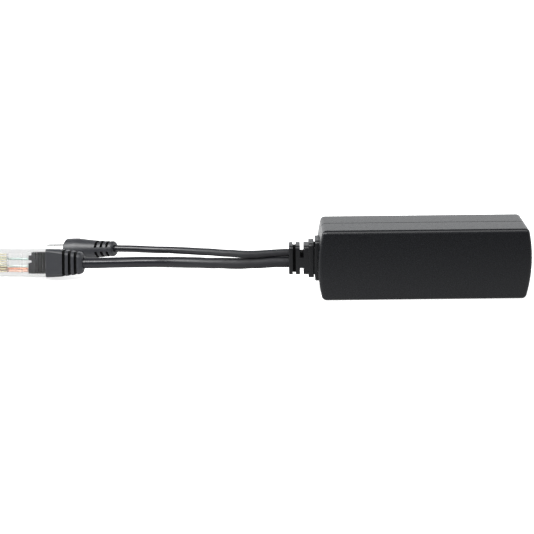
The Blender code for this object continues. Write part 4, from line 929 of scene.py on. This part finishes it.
def boot_slots():
    # The slots around the boot, less the core that holds its ribs together, and their
    # spans.
    spans = slot_spans(-BOOT_SLOT_START, -BOOT_SLOT_PITCH, BOOT_SLOT_COUNT, -BOOT_SLOT)
    sizes = ((0, BOOT_FRONT_WIDTH, BOOT_FRONT_THICKNESS),
             (BOOT_BLOCK_LENGTH, BOOT_RIB_WIDTH, BOOT_RIB_THICKNESS),
             (BOOT_LENGTH, BOOT_REAR_WIDTH, BOOT_REAR_THICKNESS))
    sections = [(-station, rounded_rectangle(width - 2 * BOOT_SLOT_RIM,
                                             thickness - 2 * BOOT_SLOT_DEPTH,
                                             BOOT_SLOT_DEPTH / 2))
                for station, width, thickness in sizes]
    slots = new_object("slots", slabs(spans, BOOT_FRONT_WIDTH, BOOT_FRONT_THICKNESS))
    return combine(slots, ("DIFFERENCE", loft(sections, along_x))), spans


def data_plug_boot(finish, tongue_finish, slot_shade_finish):
    rear = BOOT_LENGTH - BOOT_END_ROUND
    sections = [boot_section(CLEARANCE, BOOT_FRONT_WIDTH, BOOT_FRONT_THICKNESS),
                boot_section(BOOT_BLOCK_LENGTH, BOOT_RIB_WIDTH, BOOT_RIB_THICKNESS),
                boot_section(rear, BOOT_REAR_WIDTH, BOOT_REAR_THICKNESS)]
    for step in range(1, BEND_STEPS + 1):
        angle = radians(BOOT_END_TURN * step / BEND_STEPS)
        shrink = 2 * BOOT_END_ROUND * (1 - cos(angle))
        sections.append(boot_section(rear + BOOT_END_ROUND * sin(angle),
                                     BOOT_REAR_WIDTH - shrink, BOOT_REAR_THICKNESS - shrink))
    added, grooves, groove_spans = boot_tongue()
    slots, spans = boot_slots()
    recess = round_hole(-BOOT_LENGTH - BOOT_RECESS, -BOOT_LENGTH + BOOT_RECESS,
                        DATA_CORD_DIAMETER / 2 + CONTACT_CLEARANCE)
    boot = combine(new_object("data_plug_boot_look", loft(sections, along_x), finish),
                   *[("UNION", shape) for shape in added],
                   *[("DIFFERENCE", shape) for shape in (grooves, slots, recess)])
    mark_faces(boot, tongue_finish, [(CLEARANCE, 2 * BOOT_TONGUE_LENGTH)])
    # The slots and the tongue's grooves get the painted shade.
    mark_faces(boot, slot_shade_finish, spans + groove_spans)
    return put(dress(boot, SOFT_EDGE), ["data_plug_boot"], DATA_FRAME)


def plug_blades(finish):
    crest = PLUG_THICKNESS / 2 - PLUG_BLADE_SINK
    foot = PLUG_WIRE_DIAMETER / 2 + CONTACT_CLEARANCE
    front = PLUG_LENGTH - PLUG_NOSE_WALL - CONTACT_CLEARANCE
    rear = front - PLUG_BLADE_LENGTH
    corner = PLUG_BLADE_THICKNESS
    outline = ((rear, foot), (rear, crest - corner), (rear + corner, crest),
               (front - corner, crest), (front, crest - corner), (front, foot))
    made = []
    for number in range(1, CONTACT_COUNT + 1):
        middle = pin_place(number)
        name = f"data_plug_contact_{number}"
        blade = prism(outline, middle - PLUG_BLADE_THICKNESS / 2,
                      middle + PLUG_BLADE_THICKNESS / 2, along_y)
        item = dress(new_object(f"{name}_look", blade, finish), BLADE_SOFT_EDGE)
        made.append(put(item, [name], DATA_FRAME))
    return made


def plug_wires(finishes):
    start = BOOT_TONGUE_LENGTH + BOOT_TONGUE_STEP + CLEARANCE
    end = PLUG_LENGTH - PLUG_NOSE_WALL - CLEARANCE
    made = []
    for number, colour in WIRE_COLOURS.items():
        points = [Vector((start + (end - start) * step / WIRE_STEPS, pin_place(number), 0))
                  for step in range(WIRE_STEPS + 1)]
        wire = tube(f"data_wire_{number}_look", points, PLUG_WIRE_DIAMETER,
                    finishes[f"{colour}_wire"], resolution=4)
        made.append(put(wire, [f"data_wire_{number}"], DATA_FRAME))
    return made


# Power plug

def grip_radius(station):
    end = GRIP_LENGTH - GRIP_END_ROUND
    share = min(max((station - GRIP_STRAIGHT) / (end - GRIP_STRAIGHT), 0), 1)
    ease = 1 - (1 - share) ** GRIP_TAPER_EASE
    return (GRIP_DIAMETER + (GRIP_REAR_DIAMETER - GRIP_DIAMETER) * ease) / 2


def power_plug_grip(finish, slot_shade_finish):
    bore = BARREL_DIAMETER / 2 + CLEARANCE
    rear_hole = POWER_CORD_DIAMETER / 2 + CONTACT_CLEARANCE
    profile = [(-GRIP_BORE_DEPTH, 0), (-GRIP_BORE_DEPTH, bore), (0, bore)]
    for step in range(BEND_STEPS + 1):
        angle = radians(90 * step / BEND_STEPS)
        profile.append((-GRIP_EDGE * (1 - cos(angle)),
                        GRIP_DIAMETER / 2 - GRIP_EDGE * (1 - sin(angle))))
    taper_end = GRIP_LENGTH - GRIP_END_ROUND
    for step in range(TAPER_STEPS + 1):
        station = GRIP_STRAIGHT + (taper_end - GRIP_STRAIGHT) * step / TAPER_STEPS
        profile.append((-station, grip_radius(station)))
    for step in range(1, BEND_STEPS + 1):
        angle = radians(90 * step / BEND_STEPS)
        profile.append((-taper_end - GRIP_END_ROUND * sin(angle),
                        GRIP_REAR_DIAMETER / 2 - GRIP_END_ROUND * (1 - cos(angle))))
    profile += [(-GRIP_LENGTH, rear_hole), (-GRIP_LENGTH + GRIP_RECESS, rear_hole),
                (-GRIP_LENGTH + GRIP_RECESS, 0)]
    spans = slot_spans(-GRIP_SLOT_START, -GRIP_SLOT_PITCH, GRIP_SLOT_COUNT, -GRIP_SLOT)
    core = GRIP_CORE_DIAMETER / 2
    rings = bmesh.new()
    for low, high in spans:
        merge(rings, turned(((high, core), (high, GRIP_DIAMETER),
                             (low, GRIP_DIAMETER), (low, core))))
    spine = centred_box((-GRIP_LENGTH / 2, 0, 0), (GRIP_LENGTH * 2, GRIP_DIAMETER * 3, GRIP_SPINE))
    slots = combine(new_object("rings", rings), ("DIFFERENCE", spine))
    grip = combine(new_object("power_plug_grip_look", turned(profile), finish),
                   ("DIFFERENCE", slots))
    # The walls and floors of the slots get the painted shade.
    mark_faces(grip, slot_shade_finish, spans,
               lambda face: (abs(face.normal.x) > STEEP_NORMAL
                             or face.center.yz.length < core + CLEARANCE))
    return put(dress(grip, SOFT_EDGE), ["power_plug_grip"], POWER_FRAME)


def power_plug_sleeve(finish):
    rear = -GRIP_BORE_DEPTH + CLEARANCE
    outer = BARREL_DIAMETER / 2
    inner = outer - BARREL_WALL
    edge = BARREL_WALL / 2
    profile = [(rear, inner), (rear, outer)]
    for step in range(BEND_STEPS + 1):
        angle = radians(90 * step / BEND_STEPS)
        profile.append((BARREL_LENGTH - edge * (1 - sin(angle)), outer - edge * (1 - cos(angle))))
    profile.append((BARREL_LENGTH, inner))
    sleeve = new_object("power_plug_sleeve_look", turned(profile), finish)
    return put(dress(sleeve), ["power_plug_sleeve"], POWER_FRAME)


# Cords

def make_cord(name, start_height, route, plug, rear, diameter, finish, unevenness):
    # Runs from the gland along the route into the recess at the rear of the plug.
    near_gland = Vector((GLAND_TIP - CORD_POINT_SPACING / 3, 0, start_height))
    near_plug = plug @ Vector((-rear - CORD_POINT_SPACING / 3, 0, 0))
    places = [Vector((CORD_START, 0, start_height)), near_gland,
              *[Vector(place) for place in route], near_plug, plug @ Vector((-rear, 0, 0))]
    made = tube(f"{name}_look", curve_through(places, CORD_LOOK_SPACING), diameter, finish,
                resolution=8, unevenness=unevenness)
    return put(made, [name])


# Studio

def background(tree, colour, strength=1.0):
    return add_node(tree, "ShaderNodeBackground", Color=colour, Strength=strength)


def emission(tree, strength):
    return add_node(tree, "ShaderNodeEmission", Strength=strength)


def make_world():
    # The camera sees plain white. The object mirrors a darker room, paler behind it
    # and lower down, and an even light falls on it.
    world = bpy.data.worlds.new("studio")
    world.use_nodes = True
    bpy.context.scene.world = world
    tree = world.node_tree
    tree.nodes.clear()
    ray = add_node(tree, "ShaderNodeLightPath").outputs
    away = add_node(tree, "ShaderNodeTexCoord").outputs["Generated"]
    behind = ranged(tree, part_of(tree, away, "Y"), *MIRRORED_BACK_RAMP)
    raised = ranged(tree, part_of(tree, away, "Z"), *MIRRORED_HEIGHT_RAMP)
    mirrored = background(tree, MIRRORED_ROOM_COLOUR)
    tree.links.new(joined(tree, "ShaderNodeMath", (behind, raised), operation="MINIMUM"),
                   mirrored.inputs["Strength"])
    lit = joined(tree, "ShaderNodeMixShader", (
        ray["Is Glossy Ray"], background(tree, ROOM_COLOUR, ROOM_STRENGTH).outputs[0],
        mirrored.outputs[0]))
    seen = joined(tree, "ShaderNodeMath", (ray["Is Camera Ray"], ray["Is Transmission Ray"]),
                  operation="MAXIMUM")
    final = joined(tree, "ShaderNodeMixShader", (
        seen, lit, background(tree, (1, 1, 1, 1)).outputs[0]))
    output = add_node(tree, "ShaderNodeOutputWorld")
    tree.links.new(final, output.inputs["Surface"])


def unless_mirrored(tree, mirrored, usual, ramp):
    # The usual value, or in the object's surface one that changes towards the back.
    made = add_node(tree, "ShaderNodeMix")
    made.inputs["A"].default_value = usual
    tree.links.new(mirrored, made.inputs["Factor"])
    tree.links.new(ranged(tree, part_of(tree, place_vector(tree), "Y"), *ramp), made.inputs["B"])
    return made.outputs["Result"]


def make_floor():
    # A pale floor that takes shadows, with a glow that keeps it near white in the view.
    made, tree, shader = new_material("pale_floor")
    tree.nodes.remove(shader)
    ray = add_node(tree, "ShaderNodeLightPath").outputs
    mirrored = ray["Is Glossy Ray"]
    diffuse = add_node(tree, "ShaderNodeBsdfDiffuse")
    tree.links.new(unless_mirrored(tree, mirrored, FLOOR_SHADE, MIRRORED_SHADE_RAMP),
                   diffuse.inputs["Color"])
    glow = emission(tree, 1.0)
    tree.links.new(unless_mirrored(tree, mirrored, FLOOR_GLOW, MIRRORED_GLOW_RAMP),
                   glow.inputs["Strength"])
    seen = joined(tree, "ShaderNodeMath", (ray["Is Camera Ray"], mirrored), operation="MAXIMUM")
    shown = joined(tree, "ShaderNodeMixShader", (
        seen, emission(tree, 0.0).outputs[0], glow.outputs[0]))
    both = joined(tree, "ShaderNodeAddShader", (shown, diffuse.outputs[0]))
    # Through the clear plug the floor is plain white, without the plug's own shadow.
    final = joined(tree, "ShaderNodeMixShader", (
        ray["Is Transmission Ray"], both, emission(tree, THROUGH_STRENGTH).outputs[0]))
    tree.links.new(final, tree.nodes["Material Output"].inputs["Surface"])
    floor = new_object("floor", box(*FLOOR_CORNERS), made)


def area_lamp(name, place, target, size, power):
    lamp = bpy.data.lights.new(name, "AREA")
    lamp.shape = "RECTANGLE"
    lamp.size, lamp.size_y = size
    lamp.energy = power
    made = bpy.data.objects.new(name, lamp)
    bpy.context.scene.collection.objects.link(made)
    made.location = place
    facing = (Vector(target) - Vector(place)).to_track_quat("-Z", "Y")
    made.rotation_euler = facing.to_euler()


def make_studio():
    make_world()
    make_floor()
    for settings in LAMPS:
        area_lamp(*settings)
    bpy.context.scene.view_settings.view_transform = "Standard"


# Everything together

def make_finishes():
    made = {name: moulded(f"{name}_look", *values, **unusual)
            for name, (*values, unusual) in PLASTICS.items()}
    duller_towards(made["cord_jacket"], JACKET_DULL_FROM, JACKET_DULL_TO, JACKET_DULLNESS)
    made["pale_orange_wire"] = striped("pale_orange_wire_look", (0.80, 0.58, 0.48),
                                       (0.66, 0.30, 0.20))
    made["pale_green_wire"] = striped("pale_green_wire_look", (0.66, 0.74, 0.71),
                                      (0.40, 0.50, 0.47))
    made["gold"] = metal("gold_look", (0.96, 0.88, 0.60), (0.22, 0.36), (1, 8, 8), metallic=0.5)
    # The nickel is near white and partly diffuse. It is metal in part, and in part painted
    # reflection of the bright surroundings it mirrors.
    made["nickel"] = metal("nickel_look", (0.96, 0.96, 0.95), (0.24, 0.36), (6, 0.6, 0.6),
                           POWER_FRAME.to_euler(), metallic=0.78, depth=0.000001)
    made["clear"] = clear_plastic("clear_plastic_look", (0.998, 1.0, 0.998), 0.99)
    made["clear_edge"] = clear_plastic("clear_edge_look", (0.97, 0.975, 0.975), 0.96)
    # Painted shade: a grey, less clear copy of the clear plastic for the rear ends of the blade
    # slots.
    made["clear_slot"] = clear_plastic("clear_slot_look", (0.20, 0.20, 0.20), 0.80)
    return made


def main():
    make_camera()
    make_studio()
    finishes = make_finishes()
    # slot is the painted shade for slots, grooves and gaps.
    soft, gland_black, slot = (finishes[f"{kind}_black"] for kind in ("soft", "gland", "slot"))
    for name, item in nodes.items():
        item.data.materials.clear()
        item.data.materials.append(finishes[INNER_FINISHES.get(name, "chip")])

    case_covers(finishes["case_plastic"])
    gland = cable_gland(gland_black, slot)
    body = data_plug_body(finishes["clear"], finishes["clear_edge"], finishes["clear_slot"])
    boot = data_plug_boot(soft, gland_black, slot)
    blades = plug_blades(finishes["gold"])
    plug_leads = plug_wires(finishes)
    grip = power_plug_grip(soft, slot)
    sleeve = power_plug_sleeve(finishes["nickel"])
    data_cord = make_cord("data_cord", DATA_CORD_HEIGHT, DATA_ROUTE, DATA_FRAME,
                          BOOT_LENGTH - BOOT_RECESS + CLEARANCE, DATA_CORD_DIAMETER,
                          finishes["cord_jacket"], unevenness=0.03)
    power_cord = make_cord("power_cord", POWER_CORD_HEIGHT, POWER_ROUTE, POWER_FRAME,
                           GRIP_LENGTH - GRIP_RECESS + CLEARANCE, POWER_CORD_DIAMETER,
                           finishes["cord_jacket"], unevenness=0.02)


main()
